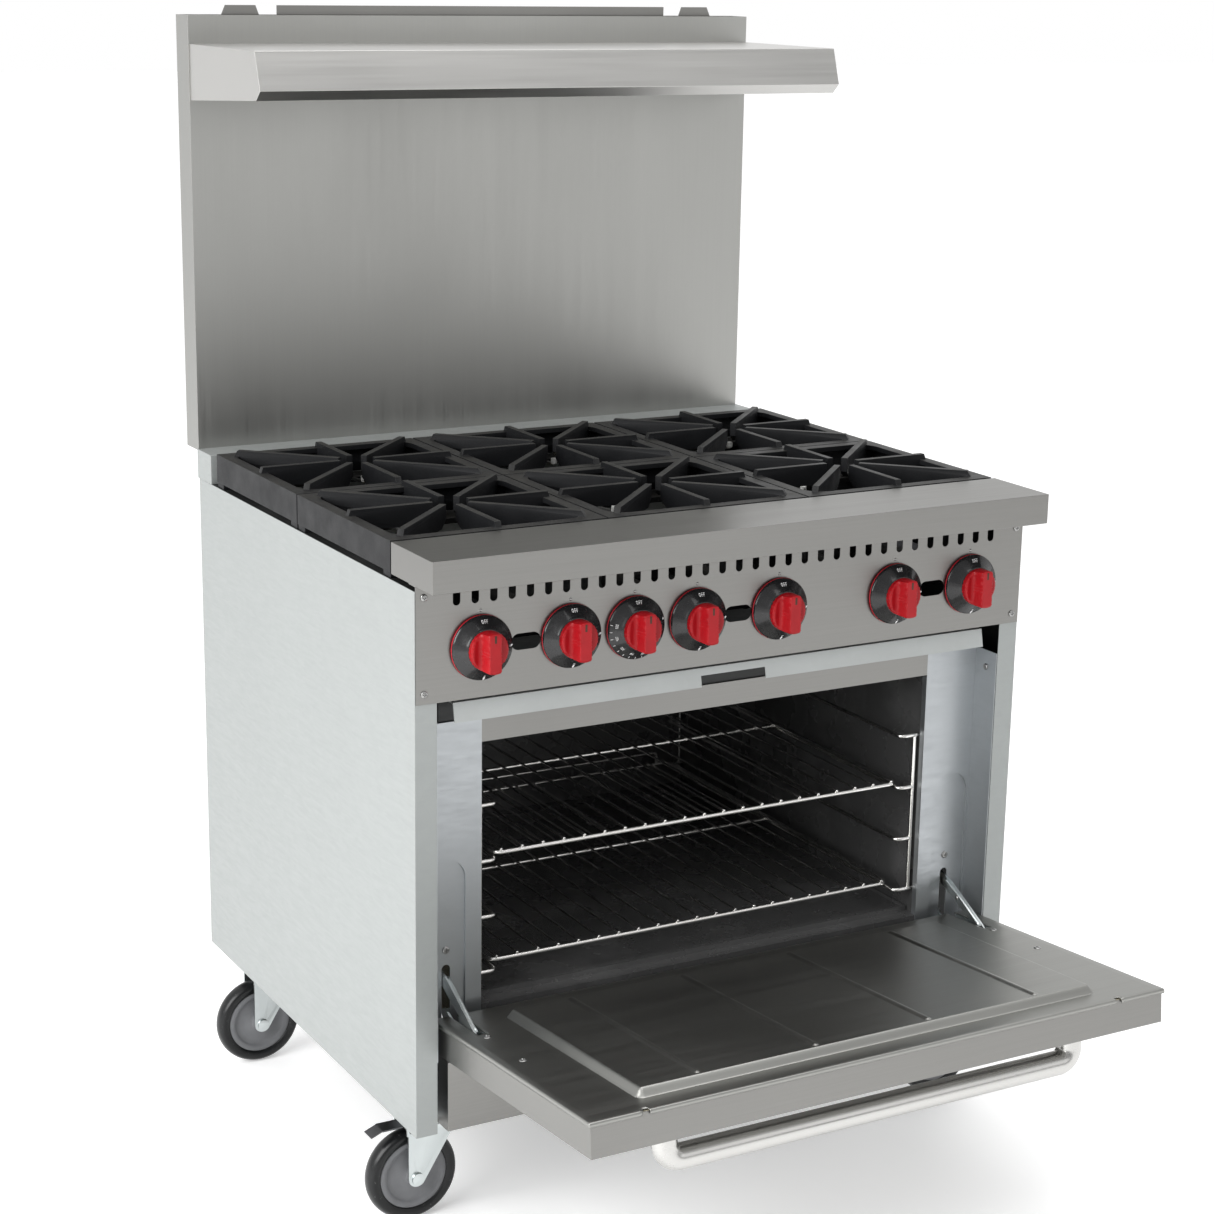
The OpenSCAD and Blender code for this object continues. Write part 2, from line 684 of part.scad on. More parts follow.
// Fork in its own frame: the swivel axis is the origin, the wheel trails towards +X
module caster_fork(braked) color(zinc) difference() {
    union() {
        translate([0, 0, fork_top - fork_t]) cylinder(d = 56, h = fork_t);
        for (s = [-1, 1]) {
            y = s < 0 ? -leg_in - leg_t : leg_in;
            translate([0, y + leg_t, 0]) rotate([90, 0, 0]) linear_extrude(leg_t) hull() {
                translate([caster_trail, wheel_r]) circle(d = 24);
                translate([-24, fork_top - 2]) square([caster_trail + 36, 2]);
            }
        }
        block([-24, -leg_in - leg_t, fork_top - fork_t], [26, leg_in + leg_t, fork_top]);
        translate([caster_trail, -leg_in - leg_t - 5, wheel_r]) along_y(2 * axle_r, 2 * (leg_in + leg_t + 5));
        for (y = [-leg_in - leg_t - 5, leg_in + leg_t]) translate([caster_trail, y, wheel_r]) along_y(17, 5);
        if (braked) for (y = [-leg_in - leg_t, leg_in])
            block([20, y, fork_top - 12], [brake_x + 6, y + leg_t, fork_top]);
    }
    translate([0, 0, fork_top - fork_t - overlap])
        cylinder(r = kingpin_r + run_gap, h = fork_t + 2 * overlap);
    if (braked) translate([brake_x, -wheel_w, brake_z]) along_y(2 * (brake_pin_r + run_gap), 2 * wheel_w);
}
module caster_wheel() color(rubber) translate([caster_trail, 0, wheel_r]) rotate([90, 0, 0]) difference() {
    union() {
        rotate_extrude() translate([wheel_r - 8, 0]) intersection() {
            translate([-11, 0]) circle(r = 19);
            translate([-20, -wheel_w / 2 + 3]) square([30, wheel_w - 6]);
        }
        translate([0, 0, -wheel_w / 2 + 6]) cylinder(r = wheel_r - 11, h = wheel_w - 12);
        translate([0, 0, -wheel_w / 2]) cylinder(d = 30, h = wheel_w);
    }
    translate([0, 0, -wheel_w]) cylinder(r = axle_r + run_gap, h = 2 * wheel_w);
}

// Brake pedal: a bent plate on a pin between the lugs of a braked fork
module caster_brake() color(zinc) translate([brake_x, 0, brake_z]) {
    translate([0, -leg_in - leg_t, 0]) along_y(2 * brake_pin_r, 2 * (leg_in + leg_t));
    block([-2.5, -leg_in + seat, 0], [2.5, leg_in - seat, 5.2]);
    block([-2.5, -pedal_half, 3.2], [36, pedal_half, 5.2]);
    rotate([90, 0, 0]) translate([0, 0, -pedal_half + 1]) linear_extrude(2 * pedal_half - 2)
        polygon([[32, 3.4], [36, 3.4], [52, -3.2], [52.8, -1.5], [36.5, 5], [32, 5]]);
}

module at_caster(right, rear)
    translate([right ? swivel_x : -swivel_x, front_y + (rear ? swivel_rear : swivel_front), 0])
        mirror([right ? 0 : 1, 0, 0]) children();
module fork_front_left() at_caster(false, false) caster_fork(true);
module fork_front_right() at_caster(true, false) caster_fork(true);
module fork_rear_left() at_caster(false, true) caster_fork(false);
module fork_rear_right() at_caster(true, true) caster_fork(false);
module wheel_front_left() at_caster(false, false) caster_wheel();
module wheel_front_right() at_caster(true, false) caster_wheel();
module wheel_rear_left() at_caster(false, true) caster_wheel();
module wheel_rear_right() at_caster(true, true) caster_wheel();
module brake_left() at_caster(false, false) caster_brake();
module brake_right() at_caster(true, false) caster_brake();

// Crumb tray: a shallow pan on the post tops, with a tilted lip and a finger notch
module crumb_tray() color(pale_steel) placed() {
    difference() {
        block([-tray_half, tray_front, tray_low], [tray_half, tray_back, tray_top - 9]);
        block([-tray_half + sheet, tray_front + sheet, tray_low + sheet],
            [tray_half - sheet, tray_back - sheet, tray_top]);
    }
    translate([0, 9, tray_top]) rotate([-tray_tilt, 0, 0]) difference() {
        block([-tray_half, -sheet, -tray_lip], [tray_half, 0, 0]);
        block([-notch_half, -sheet - overlap, -tray_lip - overlap],
            [notch_half, overlap, notch_h - tray_lip]);
    }
    block([-tray_half, 8, tray_top - sheet], [tray_half, tray_front + sheet, tray_top]);
    block([-tray_half, tray_front, tray_top - 10], [tray_half, tray_front + sheet, tray_top]);
}

// Grate: a square frame with a deep skirt, a funnel-shaped ring of web and eight raised fingers
module grate_finger(reach, lean) {
    z1 = finger_rise;
    rotate([90, 0, 0]) translate([0, 0, -finger_t / 2]) linear_extrude(finger_t)
        polygon([[finger_clear, z1], [reach - lean, z1], [reach, 0], [reach, -finger_h + z1 + 4],
            [finger_clear + 16, -finger_h + z1], [finger_clear, -finger_h + z1 + 10]]);
}
module grate(c, r) color(iron) placed() translate([column_x(c), row_y(r), frame_top]) {
    hw = grate_w / 2;
    hd = grate_d / 2;
    difference() {
        block([-hw, -hd, -skirt_h], [hw, hd, 0]);
        block([-hw + wall_t, -hd + wall_t, -skirt_h - overlap], [hw - wall_t, hd - wall_t, -wall_t]);
        linear_extrude(3 * wall_t, center = true) offset(rim_round)
            square([2 * (hw - grate_rim - rim_round), 2 * (hd - grate_rim - rim_round)], center = true);
    }
    for (x = [-1, 1]) for (y = [-1, 1]) translate([x * (hw - 12), y * (hd - 12), -skirt_h - foot_h])
        translate([-11, -11, 0]) cube([22, 22, foot_h + 6]);
    for (x = [-1, 1]) for (y = [-1, 1]) translate([x * (hw - 12), y * (hd - 12), -skirt_h])
        translate([-9, -9, 0]) cube([18, 18, skirt_h - 2]);
    for (t = [0, 180]) rotate(t) grate_finger(hw - wall_t, 3);
    for (t = [90, 270]) rotate(t) grate_finger(hd - wall_t, 3);
    for (t = [45, 135, 225, 315]) rotate(t) grate_finger(norm([hw - grate_rim, hd - grate_rim]) - 4, 5);
}
module grate_front_left() grate(0, 0);
module grate_front_middle() grate(1, 0);
module grate_front_right() grate(2, 0);
module grate_rear_left() grate(0, 1);
module grate_rear_middle() grate(1, 1);
module grate_rear_right() grate(2, 1);

// Door shell: outer skin with side, top and bottom flanges
module door_shell() color(steel) on_door() difference() {
    block([-door_half + sheet, door_outer, door_low],
        [door_half - sheet, door_inner - sheet, door_high - sheet]);
    block([-door_half + 2 * sheet, door_outer + sheet, door_low + sheet],
        [door_half - 2 * sheet, door_inner, door_high - 2 * sheet]);
    both_sides() claw_cut();
}

// The corner that a hinge claw sweeps through
module claw_cut() block([hinge_x - hinge_slot_w / 2, -12, door_low - overlap],
    [hinge_x + hinge_slot_w / 2, door_inner + overlap, 20]);

// Door liner: inner sheet with a lip over the shell, a raised pan and four beads
module pan_solid(inset, lift) hull() {
    block([-pan_half + inset, door_inner - sheet, pan_low + inset],
        [pan_half - inset, door_inner - sheet + 0.1, pan_high - inset]);
    block([-pan_half + inset + pan_slope, door_inner, pan_low + inset + pan_slope],
        [pan_half - inset - pan_slope, door_inner + lift, pan_high - inset - pan_slope]);
}
module door_liner() color(steel) on_door() difference() {
    union() {
        block([-door_half, door_inner - sheet, door_low], [door_half, door_inner, door_high]);
        both_sides() block([door_half - sheet, door_inner - liner_lip, door_low],
            [door_half, door_inner, door_high]);
        block([-door_half, door_inner - liner_lip, door_high - sheet], [door_half, door_inner, door_high]);
        pan_solid(0, pan_h);
        for (x = [-1.5:1:1.5]) translate([x * pan_bead_pitch, door_inner + pan_h - 1.2, pan_low + 22])
            cylinder(r = 3.2, h = pan_high - pan_low - 40);
    }
    translate([0, -overlap / 10, 0]) pan_solid(sheet * 1.4, pan_h - sheet);
    both_sides() block([hinge_x - hinge_slot_w / 2, door_inner - 2 * liner_lip, door_low - overlap],
        [hinge_x + hinge_slot_w / 2, door_inner + overlap, stay_a + 12]);
    both_sides() translate([open_half + 3, door_inner - liner_lip - overlap, door_high])
        along_y(9, 2 * liner_lip);
}
module door_insulation() color(wool) on_door() difference() {
    block([-door_half + 3 * sheet, door_outer + sheet, door_low + 2 * sheet],
        [door_half - 3 * sheet, door_inner - sheet - 0.2, door_high - 3 * sheet]);
    both_sides() block([channel_x0 - seat, door_outer, door_low - overlap],
        [channel_x1 + seat, door_inner + overlap, channel_top + seat]);
}

// Handle: a bent tube whose legs stand on the door skin
module door_handle() color(steel) on_door() {
    y0 = door_outer - handle_reach;
    translate([-handle_w / 2 + handle_bend, y0, handle_a]) along_x(handle_d, handle_w - 2 * handle_bend);
    both_sides() {
        translate([handle_w / 2 - handle_bend, y0 + handle_bend, handle_a]) rotate([0, 0, -90])
            rotate_extrude(angle = 90) translate([handle_bend, 0]) circle(d = handle_d);
        translate([handle_w / 2, y0 + handle_bend, handle_a]) along_y(handle_d, handle_reach - handle_bend);
    }
}
module door_screws() color(zinc) on_door() both_sides()
    for (a = [92, 189]) translate([hinge_x, door_inner, a]) rotate([-90, 0, 0]) screw_head(10);

// Hinge channels: cheeks inside the door with a bore for the claw's pin, and the stay arm's pin
module hinge_channel() {
    difference() {
        union() {
            for (x = [channel_x0, channel_x1 - cheek_t])
                block([x, door_outer + sheet, door_low + sheet],
                    [x + cheek_t, door_inner - sheet - 0.2, channel_top]);
            block([channel_x0, door_outer + sheet, 14], [channel_x1, door_outer + 2 * sheet, channel_top]);
        }
        translate([channel_x0 - overlap, 0, 0])
            along_x(2 * (pin_r + run_gap), channel_x1 - channel_x0 + 2 * overlap);
    }
    translate([channel_x0 + 1, stay_b, stay_a]) along_x(2 * stay_pin_r, channel_x1 - channel_x0 - 2);
}
module hinge_channels() color(zinc) on_door() both_sides() hinge_channel();

// Hinge claws: plates through the post slots that carry the door on their pins
module hinge_claw() translate([hinge_x - hinge_slot_w / 2 + 0.8, pivot_y, pivot_z]) {
    rotate([90, 0, 90]) linear_extrude(claw_t) hull() {
        circle(r = 8);
        translate([pivot_inset + 14, 14]) circle(r = 8);
    }
    block([-18, claw_y, 4], [claw_t, claw_y + claw_t, 24]);
    translate([channel_x0 + 0.5 - hinge_x + hinge_slot_w / 2 - 0.8, 0, 0])
        along_x(2 * pin_r, channel_x1 - channel_x0 - 1);
}
module hinge_claws() color(zinc) placed() both_sides() hinge_claw();

// Stay arm: pivots on the door and slides through the slot in the post
module stay_arm() color(zinc) on_door() translate([hinge_x + hinge_slot_w / 2 - arm_t - 1, stay_b, stay_a])
    rotate([-door_open, 0, 0]) rotate([stay_angle, 0, 0]) rotate([90, 0, 90]) difference() {
        linear_extrude(arm_t) hull() {
            circle(r = 6);
            translate([stay_length * 0.72, 2]) circle(r = 9);
            translate([stay_length, 0]) circle(r = 7);
        }
        translate([0, 0, -overlap]) cylinder(r = stay_pin_r + run_gap, h = arm_t + 2 * overlap);
    }
module stay_arm_right() stay_arm();
module stay_arm_left() mirror([1, 0, 0]) stay_arm();

// Knob: conical skirt, round grip with a finger bar, and the valve stem it turns
module knob(i) color(knob_red) placed() translate([knob_x(i), panel_face, knob_z]) rotate([90, 0, 0]) {
    r = knob_d / 2;
    rotate_extrude() polygon([[0, knob_gap], [r - 1, knob_gap], [r, knob_gap + 1], [r, knob_gap + 3],
        [grip_d / 2 + 2, knob_gap + 15], [grip_d / 2, knob_gap + 17], [grip_d / 2 - 1, knob_gap + 24],
        [grip_d / 2 - 3, knob_gap + 26], [0, knob_gap + 26]]);
    intersection() {
        translate([-9, -grip_d / 2 - 2, knob_gap + 16]) cube([18, grip_d + 4, knob_reach - knob_gap - 16]);
        cylinder(r = grip_d / 2 + 1.5, h = knob_reach);
    }
    translate([0, 0, -34 - panel_face]) cylinder(d = stem_d, h = 38 + panel_face);
}
module knob_left_front() knob(0);
module knob_left_rear() knob(1);
module knob_oven() knob(2);
module knob_middle_front() knob(3);
module knob_middle_rear() knob(4);
module knob_right_front() knob(5);
module knob_right_rear() knob(6);

side_panel_left();
side_panel_right();
rear_panel();
base_frame();
kick_plate();
hinge_posts();
oven_header();
control_panel();
front_ledge();
top_frame();
rear_riser();
backguard();
flue_baffle();
high_shelf();
gas_manifold();
gas_valves();
burners();
pilots();
oven_liner();
oven_insulation();
oven_floor();
oven_burner();
rack_guides();
panel_screws();
caster_plates();
hinge_claws();
crumb_tray();
grate_front_left();
grate_front_middle();
grate_front_right();
grate_rear_left();
grate_rear_middle();
grate_rear_right();
rack_upper();
rack_lower();
door_shell();
door_liner();
door_insulation();
door_handle();
door_screws();
hinge_channels();
stay_arm_left();
stay_arm_right();
knob_left_front();
knob_left_rear();
knob_oven();
knob_middle_front();
knob_middle_rear();
knob_right_front();
knob_right_rear();
fork_front_left();
fork_front_right();
fork_rear_left();
fork_rear_right();
wheel_front_left();
wheel_front_right();
wheel_rear_left();
wheel_rear_right();
brake_left();
brake_right();
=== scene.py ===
"""Commercial gas range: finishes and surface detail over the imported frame, in metres."""
import json
import math

import bmesh
import bpy
import numpy as np
from mathutils import Matrix, Vector


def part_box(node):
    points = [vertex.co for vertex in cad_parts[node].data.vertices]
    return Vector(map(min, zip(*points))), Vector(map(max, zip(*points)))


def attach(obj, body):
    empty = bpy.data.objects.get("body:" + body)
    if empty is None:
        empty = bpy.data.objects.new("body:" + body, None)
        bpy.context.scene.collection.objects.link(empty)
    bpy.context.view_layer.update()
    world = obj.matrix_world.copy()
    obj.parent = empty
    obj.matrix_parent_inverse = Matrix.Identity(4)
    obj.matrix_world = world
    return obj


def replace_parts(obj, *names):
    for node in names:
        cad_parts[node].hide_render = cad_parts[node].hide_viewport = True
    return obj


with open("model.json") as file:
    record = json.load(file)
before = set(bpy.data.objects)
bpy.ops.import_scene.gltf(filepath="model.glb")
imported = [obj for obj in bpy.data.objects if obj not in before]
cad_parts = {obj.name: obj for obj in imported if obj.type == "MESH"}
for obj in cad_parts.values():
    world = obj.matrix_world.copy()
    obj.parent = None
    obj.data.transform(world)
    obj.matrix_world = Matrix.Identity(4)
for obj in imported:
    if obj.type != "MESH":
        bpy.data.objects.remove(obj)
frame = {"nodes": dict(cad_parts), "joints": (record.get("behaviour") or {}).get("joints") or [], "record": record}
NODES = frame["nodes"]
BODY_OF = {node: body for body, members in frame["record"]["behaviour"]["bodies"].items() for node in members}
JOINT = {joint["name"]: joint for joint in frame["joints"]}
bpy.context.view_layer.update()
MM = 0.001
SHEET = 1.5 * MM


# ---------------------------------------------------------------- measuring the frame

def islands(node):
    """The separate solids of a CAD node, each as its lowest and highest corner, sorted by place."""
    bm = bmesh.new()
    bm.from_mesh(NODES[node].data)
    bmesh.ops.remove_doubles(bm, verts=bm.verts, dist=0.01 * MM)
    bm.verts.ensure_lookup_table()
    seen, found = set(), []
    for start in bm.verts:
        if start.index in seen:
            continue
        seen.add(start.index)
        stack, points = [start], []
        while stack:
            vert = stack.pop()
            points.append(tuple(vert.co))
            for edge in vert.link_edges:
                other = edge.other_vert(vert)
                if other.index not in seen:
                    seen.add(other.index)
                    stack.append(other)
        cloud = np.array(points)
        found.append((cloud.min(0), cloud.max(0)))
    bm.free()
    return sorted(found, key=lambda pair: tuple(np.round(pair[0], 4)))


def corner(node):
    """The lowest and highest corner of a CAD node as arrays."""
    low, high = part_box(node)
    return np.array(low), np.array(high)


HINGE = np.array(JOINT["door_hinge"]["pos_m"])
OPEN = math.radians(JOINT["door_hinge"]["range_deg"][1])
FRONT_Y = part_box("control_panel")[0].y
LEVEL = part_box("side_panel_left")[1].z


def from_door(points):
    """Door frame (x, a up the shut door, b into the oven) to the row frame: a turn about X by OPEN."""
    x, a, b = np.moveaxis(np.asarray(points, float), -1, 0)
    y = HINGE[1] + b * math.cos(OPEN) - a * math.sin(OPEN)
    z = HINGE[2] + b * math.sin(OPEN) + a * math.cos(OPEN)
    return np.stack([x, y, z], -1)


def to_door(points):
    """The row frame back to the door frame."""
    x, y, z = np.moveaxis(np.asarray(points, float), -1, 0)
    y, z = y - HINGE[1], z - HINGE[2]
    return np.stack([x, z * math.cos(OPEN) - y * math.sin(OPEN), y * math.cos(OPEN) + z * math.sin(OPEN)], -1)


def door_box(node):
    """A door node's lowest and highest corner in the door frame."""
    cloud = to_door(np.array([v.co for v in NODES[node].data.vertices]))
    return cloud.min(0), cloud.max(0)


# ---------------------------------------------------------------- surfaces

def smoothstep(t):
    """0 below 0, 1 above 1, and the cubic 3t^2 - 2t^3 between."""
    t = np.clip(t, 0, 1)
    return t * t * (3 - 2 * t)


def grid(points, close_rows=False, close_cols=False):
    """A net of quads over points[row, column]; close_* joins the last row or column to the first."""
    rows, cols = points.shape[:2]
    index = np.arange(rows * cols).reshape(rows, cols)
    if close_rows:
        index = np.vstack([index, index[:1]])
    if close_cols:
        index = np.hstack([index, index[:, :1]])
    faces = np.stack([index[:-1, :-1], index[:-1, 1:], index[1:, 1:], index[1:, :-1]], -1).reshape(-1, 4)
    return points.reshape(-1, 3), faces


def join(shapes):
    """Several (points, faces) as one."""
    points, faces, start = [], [], 0
    for cloud, net in shapes:
        points.append(cloud)
        faces.append(net + start)
        start += len(cloud)
    return np.vstack(points), np.vstack(faces)


def lathe(profile, sides=64):
    """A profile of (radius, height) turned about Z: (r cos t, r sin t, h)."""
    radius, height = np.asarray(profile, float).T
    turn = np.linspace(0, 2 * np.pi, sides, endpoint=False)
    x = radius[:, None] * np.cos(turn)
    y = radius[:, None] * np.sin(turn)
    return grid(np.stack([x, y, np.broadcast_to(height[:, None], x.shape)], -1), close_cols=True)


def place(shape, origin, u, v, w):
    """A shape in a local frame carried to origin + x u + y v + z w."""
    points, faces = shape
    return points @ np.array([u, v, w], float) + np.asarray(origin, float), faces


def fillet(corners, radius, steps=6, closed=False):
    """A polyline whose corners are arcs: points on the circle that touches both legs of the corner."""
    corners = [np.asarray(c, float) for c in corners]
    count = len(corners)
    path = []
    for i, here in enumerate(corners):
        if not closed and i in (0, count - 1):
            path.append(here)
            continue
        back = corners[i - 1] - here
        ahead = corners[(i + 1) % count] - here
        reach_back, reach_ahead = np.linalg.norm(back), np.linalg.norm(ahead)
        back, ahead = back / reach_back, ahead / reach_ahead
        half = math.acos(np.clip(back @ ahead, -1, 1)) / 2
        if half > math.pi / 2 - 0.01:
            path.append(here)
            continue
        tangent = min(radius / math.tan(half), reach_back * 0.49, reach_ahead * 0.49)
        turn_r = tangent * math.tan(half)
        middle = (back + ahead) / np.linalg.norm(back + ahead)
        centre = here + middle * turn_r / math.sin(half)
        start, end = here + back * tangent - centre, here + ahead * tangent - centre
        sweep = math.pi - 2 * half
        for k in range(steps + 1):
            t = k / steps
            before, after = math.sin((1 - t) * sweep), math.sin(t * sweep)
            path.append(centre + (before * start + after * end) / math.sin(sweep))
    return np.array(path)


def tube(path, radius, sides=14, closed=False):
    """A round tube: rings across the path, each turned from the last by the least angle, with flat ends."""
    path = np.asarray(path, float)
    if closed:
        tangents = np.roll(path, -1, 0) - np.roll(path, 1, 0)
    else:
        tangents = np.gradient(path, axis=0)
    tangents /= np.linalg.norm(tangents, axis=1)[:, None]
    side = np.cross(tangents[0], [0, 0, 1] if abs(tangents[0][2]) < 0.9 else [1, 0, 0])
    normals = [side / np.linalg.norm(side)]
    for tangent in tangents[1:]:
        nxt = normals[-1] - tangent * (normals[-1] @ tangent)
        normals.append(nxt / np.linalg.norm(nxt))
    normals = np.array(normals)
    others = np.cross(tangents, normals)
    turn = np.linspace(0, 2 * np.pi, sides, endpoint=False)
    radius = np.broadcast_to(np.asarray(radius, float), (len(path),))[:, None, None]
    circle = np.cos(turn)[:, None] * normals[:, None] + np.sin(turn)[:, None] * others[:, None]
    rings = path[:, None] + radius * circle
    if not closed:
        first = np.broadcast_to(path[0], (1, sides, 3))
        last = np.broadcast_to(path[-1], (1, sides, 3))
        rings = np.concatenate([first, rings, last])
    return grid(rings, close_rows=closed, close_cols=True)


def plate(outline, thickness, bulge=0.0):
    """A flat plate over a closed outline in XY: rings shrunk to the middle on both faces, one skin."""
    outline = np.asarray(outline, float)
    middle = outline.mean(0)
    rings = []
    for share, height in ((0, bulge), (0.5, bulge * 0.8), (0.97, 0), (1, -thickness * 0.15),
                          (1, -thickness * 0.85), (0.97, -thickness), (0, -thickness)):
        flat = middle + (outline - middle) * share
        rings.append(np.column_stack([flat, np.full(len(flat), height)]))
    return grid(np.array(rings), close_cols=True)


def stations(low, high, step, fine=()):
    """Places from low to high a step apart, and closer where fine = (centre, half width, step) says."""
    places = [np.linspace(low, high, max(2, int(round((high - low) / step)) + 1))]
    for centre, half, small in fine:
        places.append(np.arange(centre - half, centre + half + small / 2, small))
    every = np.unique(np.round(np.concatenate(places), 6))
    return every[(every >= low) & (every <= high)]


# ---------------------------------------------------------------- pieces

def piece(name, shape, body, finish, smooth=35, recalc=True):
    """Puts a shape into the scene as one piece: doubles merged, normals outwards, soft under an angle."""
    points, faces = shape
    mesh = bpy.data.meshes.new(name)
    mesh.from_pydata(points.tolist(), [], faces.tolist())
    bm = bmesh.new()
    bm.from_mesh(mesh)
    bmesh.ops.remove_doubles(bm, verts=bm.verts, dist=0.002 * MM)
    bmesh.ops.dissolve_degenerate(bm, edges=bm.edges, dist=0.001 * MM)
    if recalc:
        bmesh.ops.recalc_face_normals(bm, faces=bm.faces)
    bm.to_mesh(mesh)
    bm.free()
    return dress(bpy.data.objects.new(name, mesh), body, finish, smooth)


def dress(thing, body, finish, smooth):
    """Links an object, gives it its finish and its slot, and lets it ride on its body."""
    bpy.context.scene.collection.objects.link(thing)
    thing.data.materials.clear()
    thing.data.materials.append(finish)
    thing.data.shade_smooth()
    thing.data.set_sharp_from_angle(angle=math.radians(smooth))
    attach(thing, body)
    return thing


def plain(node, finish):
    """A CAD node that keeps its own mesh and gets a better finish."""
    mesh = NODES[node].data
    mesh.materials.clear()
    mesh.materials.append(finish)


def rounded(node, finish, edge, segments=2, smooth=32):
    """A copy of a CAD node with its doubles merged, flat faces joined, and its sharp edges rounded."""
    mesh = NODES[node].data.copy()
    bm = bmesh.new()
    bm.from_mesh(mesh)
    bmesh.ops.remove_doubles(bm, verts=bm.verts, dist=0.005 * MM)
    unlike = {f"cmp_{kind}": False for kind in ("seam", "sharp", "uvs", "vcols", "materials")}
    bmesh.ops.join_triangles(bm, faces=bm.faces, angle_face_threshold=0.02,
                             angle_shape_threshold=3.14, **unlike)
    bm.to_mesh(mesh)
    bm.free()
    thing = dress(bpy.data.objects.new(f"{node}_sheet" if edge < MM else f"{node}_casting", mesh),
                  BODY_OF[node], finish, smooth)
    if edge:
        bevel = thing.modifiers.new("rounded edges", "BEVEL")
        bevel.width = edge
        bevel.segments = segments
        bevel.limit_method = "ANGLE"
        bevel.angle_limit = math.radians(40)
        bevel.harden_normals = True
    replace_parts(thing, node)
    return thing


# ---------------------------------------------------------------- finishes

class Finish:
    """A procedural material: a Principled surface with nodes that read Object coordinates."""

    def __init__(self, name, colour, metallic=0.0, roughness=0.5):
        self.material = bpy.data.materials.new(name)
        self.material.use_nodes = True
        self.tree = self.material.node_tree
        self.surface = self.tree.nodes["Principled BSDF"]
        self.set("Base Color", (*colour, 1))
        self.set("Metallic", metallic)
        self.set("Roughness", roughness)
        self.coords = self.tree.nodes.new("ShaderNodeTexCoord").outputs["Object"]
        self.height = None

    def axis(self, letter):
        """One of the Object coordinates."""
        node = self.tree.nodes.new("ShaderNodeSeparateXYZ")
        self.link(self.coords, node.inputs["Vector"])
        return node.outputs[letter]

    def set(self, socket, value):
        self.surface.inputs[socket].default_value = value

    def link(self, source, target):
        self.tree.links.new(source, target)

    def noise(self, scale, stretch=(1, 1, 1), detail=3.0, roughness=0.55, distortion=0.0):
        """Noise over Object coordinates, stretched by a scale along each axis."""
        mapping = self.tree.nodes.new("ShaderNodeMapping")
        mapping.inputs["Scale"].default_value = stretch
        self.link(self.coords, mapping.inputs["Vector"])
        texture = self.tree.nodes.new("ShaderNodeTexNoise")
        texture.inputs["Scale"].default_value = scale
        texture.inputs["Detail"].default_value = detail
        texture.inputs["Roughness"].default_value = roughness
        texture.inputs["Distortion"].default_value = distortion
        self.link(mapping.outputs["Vector"], texture.inputs["Vector"])
        return texture.outputs["Fac"]

    def cells(self, scale, stretch=(1, 1, 1), colour=False):
        """Voronoi cells over Object coordinates: each cell's own shade, or the distance to its middle."""
        mapping = self.tree.nodes.new("ShaderNodeMapping")
        mapping.inputs["Scale"].default_value = stretch
        self.link(self.coords, mapping.inputs["Vector"])
        texture = self.tree.nodes.new("ShaderNodeTexVoronoi")
        texture.inputs["Scale"].default_value = scale
        self.link(mapping.outputs["Vector"], texture.inputs["Vector"])
        return texture.outputs["Color" if colour else "Distance"]

    def span(self, value, low, high, to_low, to_high):
        """Maps low..high of a value to to_low..to_high, held inside."""
        node = self.tree.nodes.new("ShaderNodeMapRange")
        for key, number in (("From Min", low), ("From Max", high), ("To Min", to_low), ("To Max", to_high)):
            node.inputs[key].default_value = number
        self.link(value, node.inputs["Value"])
        return node.outputs["Result"]

    def maths(self, operation, a, b):
        node = self.tree.nodes.new("ShaderNodeMath")
        node.operation = operation
        for slot, item in enumerate((a, b)):
            if isinstance(item, (int, float)):
                node.inputs[slot].default_value = item
            else:
                self.link(item, node.inputs[slot])
        return node.outputs["Value"]

    def shades(self, value, stops):
        """A colour ramp over a value, from (place, colour) stops."""
        node = self.tree.nodes.new("ShaderNodeValToRGB")
        ramp = node.color_ramp
        while len(ramp.elements) < len(stops):
            ramp.elements.new(0.5)
        for element, (at, colour) in zip(ramp.elements, stops):
            element.position = at
            element.color = (*colour, 1)
        self.link(value, node.inputs["Fac"])
        return node.outputs["Color"]

    def colour(self, value):
        self.link(value, self.surface.inputs["Base Color"])

    def rough(self, value):
        self.link(value, self.surface.inputs["Roughness"])

    def bump(self, value, distance, strength=0.5):
        """Adds a height to the surface; a second call stacks on the first."""
        node = self.tree.nodes.new("ShaderNodeBump")
        node.inputs["Distance"].default_value = distance
        node.inputs["Strength"].default_value = strength
        self.link(value, node.inputs["Height"])
        if self.height:
            self.link(self.height, node.inputs["Normal"])
        self.height = node.outputs["Normal"]
        self.link(self.height, self.surface.inputs["Normal"])


def tint(colour, share):
    return tuple(channel * share for channel in colour)


def shade_within_body(finish):
    """Mask of a painted shade: 1 inside the body's outer skin and behind its pillars, where the range is in shade:
    inset = half width - |x|, depth = y - front.
    """
    x, y = finish.axis("X"), finish.axis("Y")
    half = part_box("side_panel_right")[1].x
    inset = finish.maths("SUBTRACT", half, finish.maths("ABSOLUTE", x, 0.0))
    return finish.maths("MULTIPLY", finish.span(inset, 0.6 * MM, 1.0 * MM, 0, 1),
                        finish.span(y, FRONT_Y + 3.4 * MM, FRONT_Y + 3.8 * MM, 0, 1))


def shade_behind_lip(finish):
    """Mask of a painted shade: 1 behind the crumb tray's lip, where the lip's shade falls."""
    return finish.span(finish.axis("Y"), FRONT_Y + 34 * MM, FRONT_Y + 46 * MM, 0, 1)


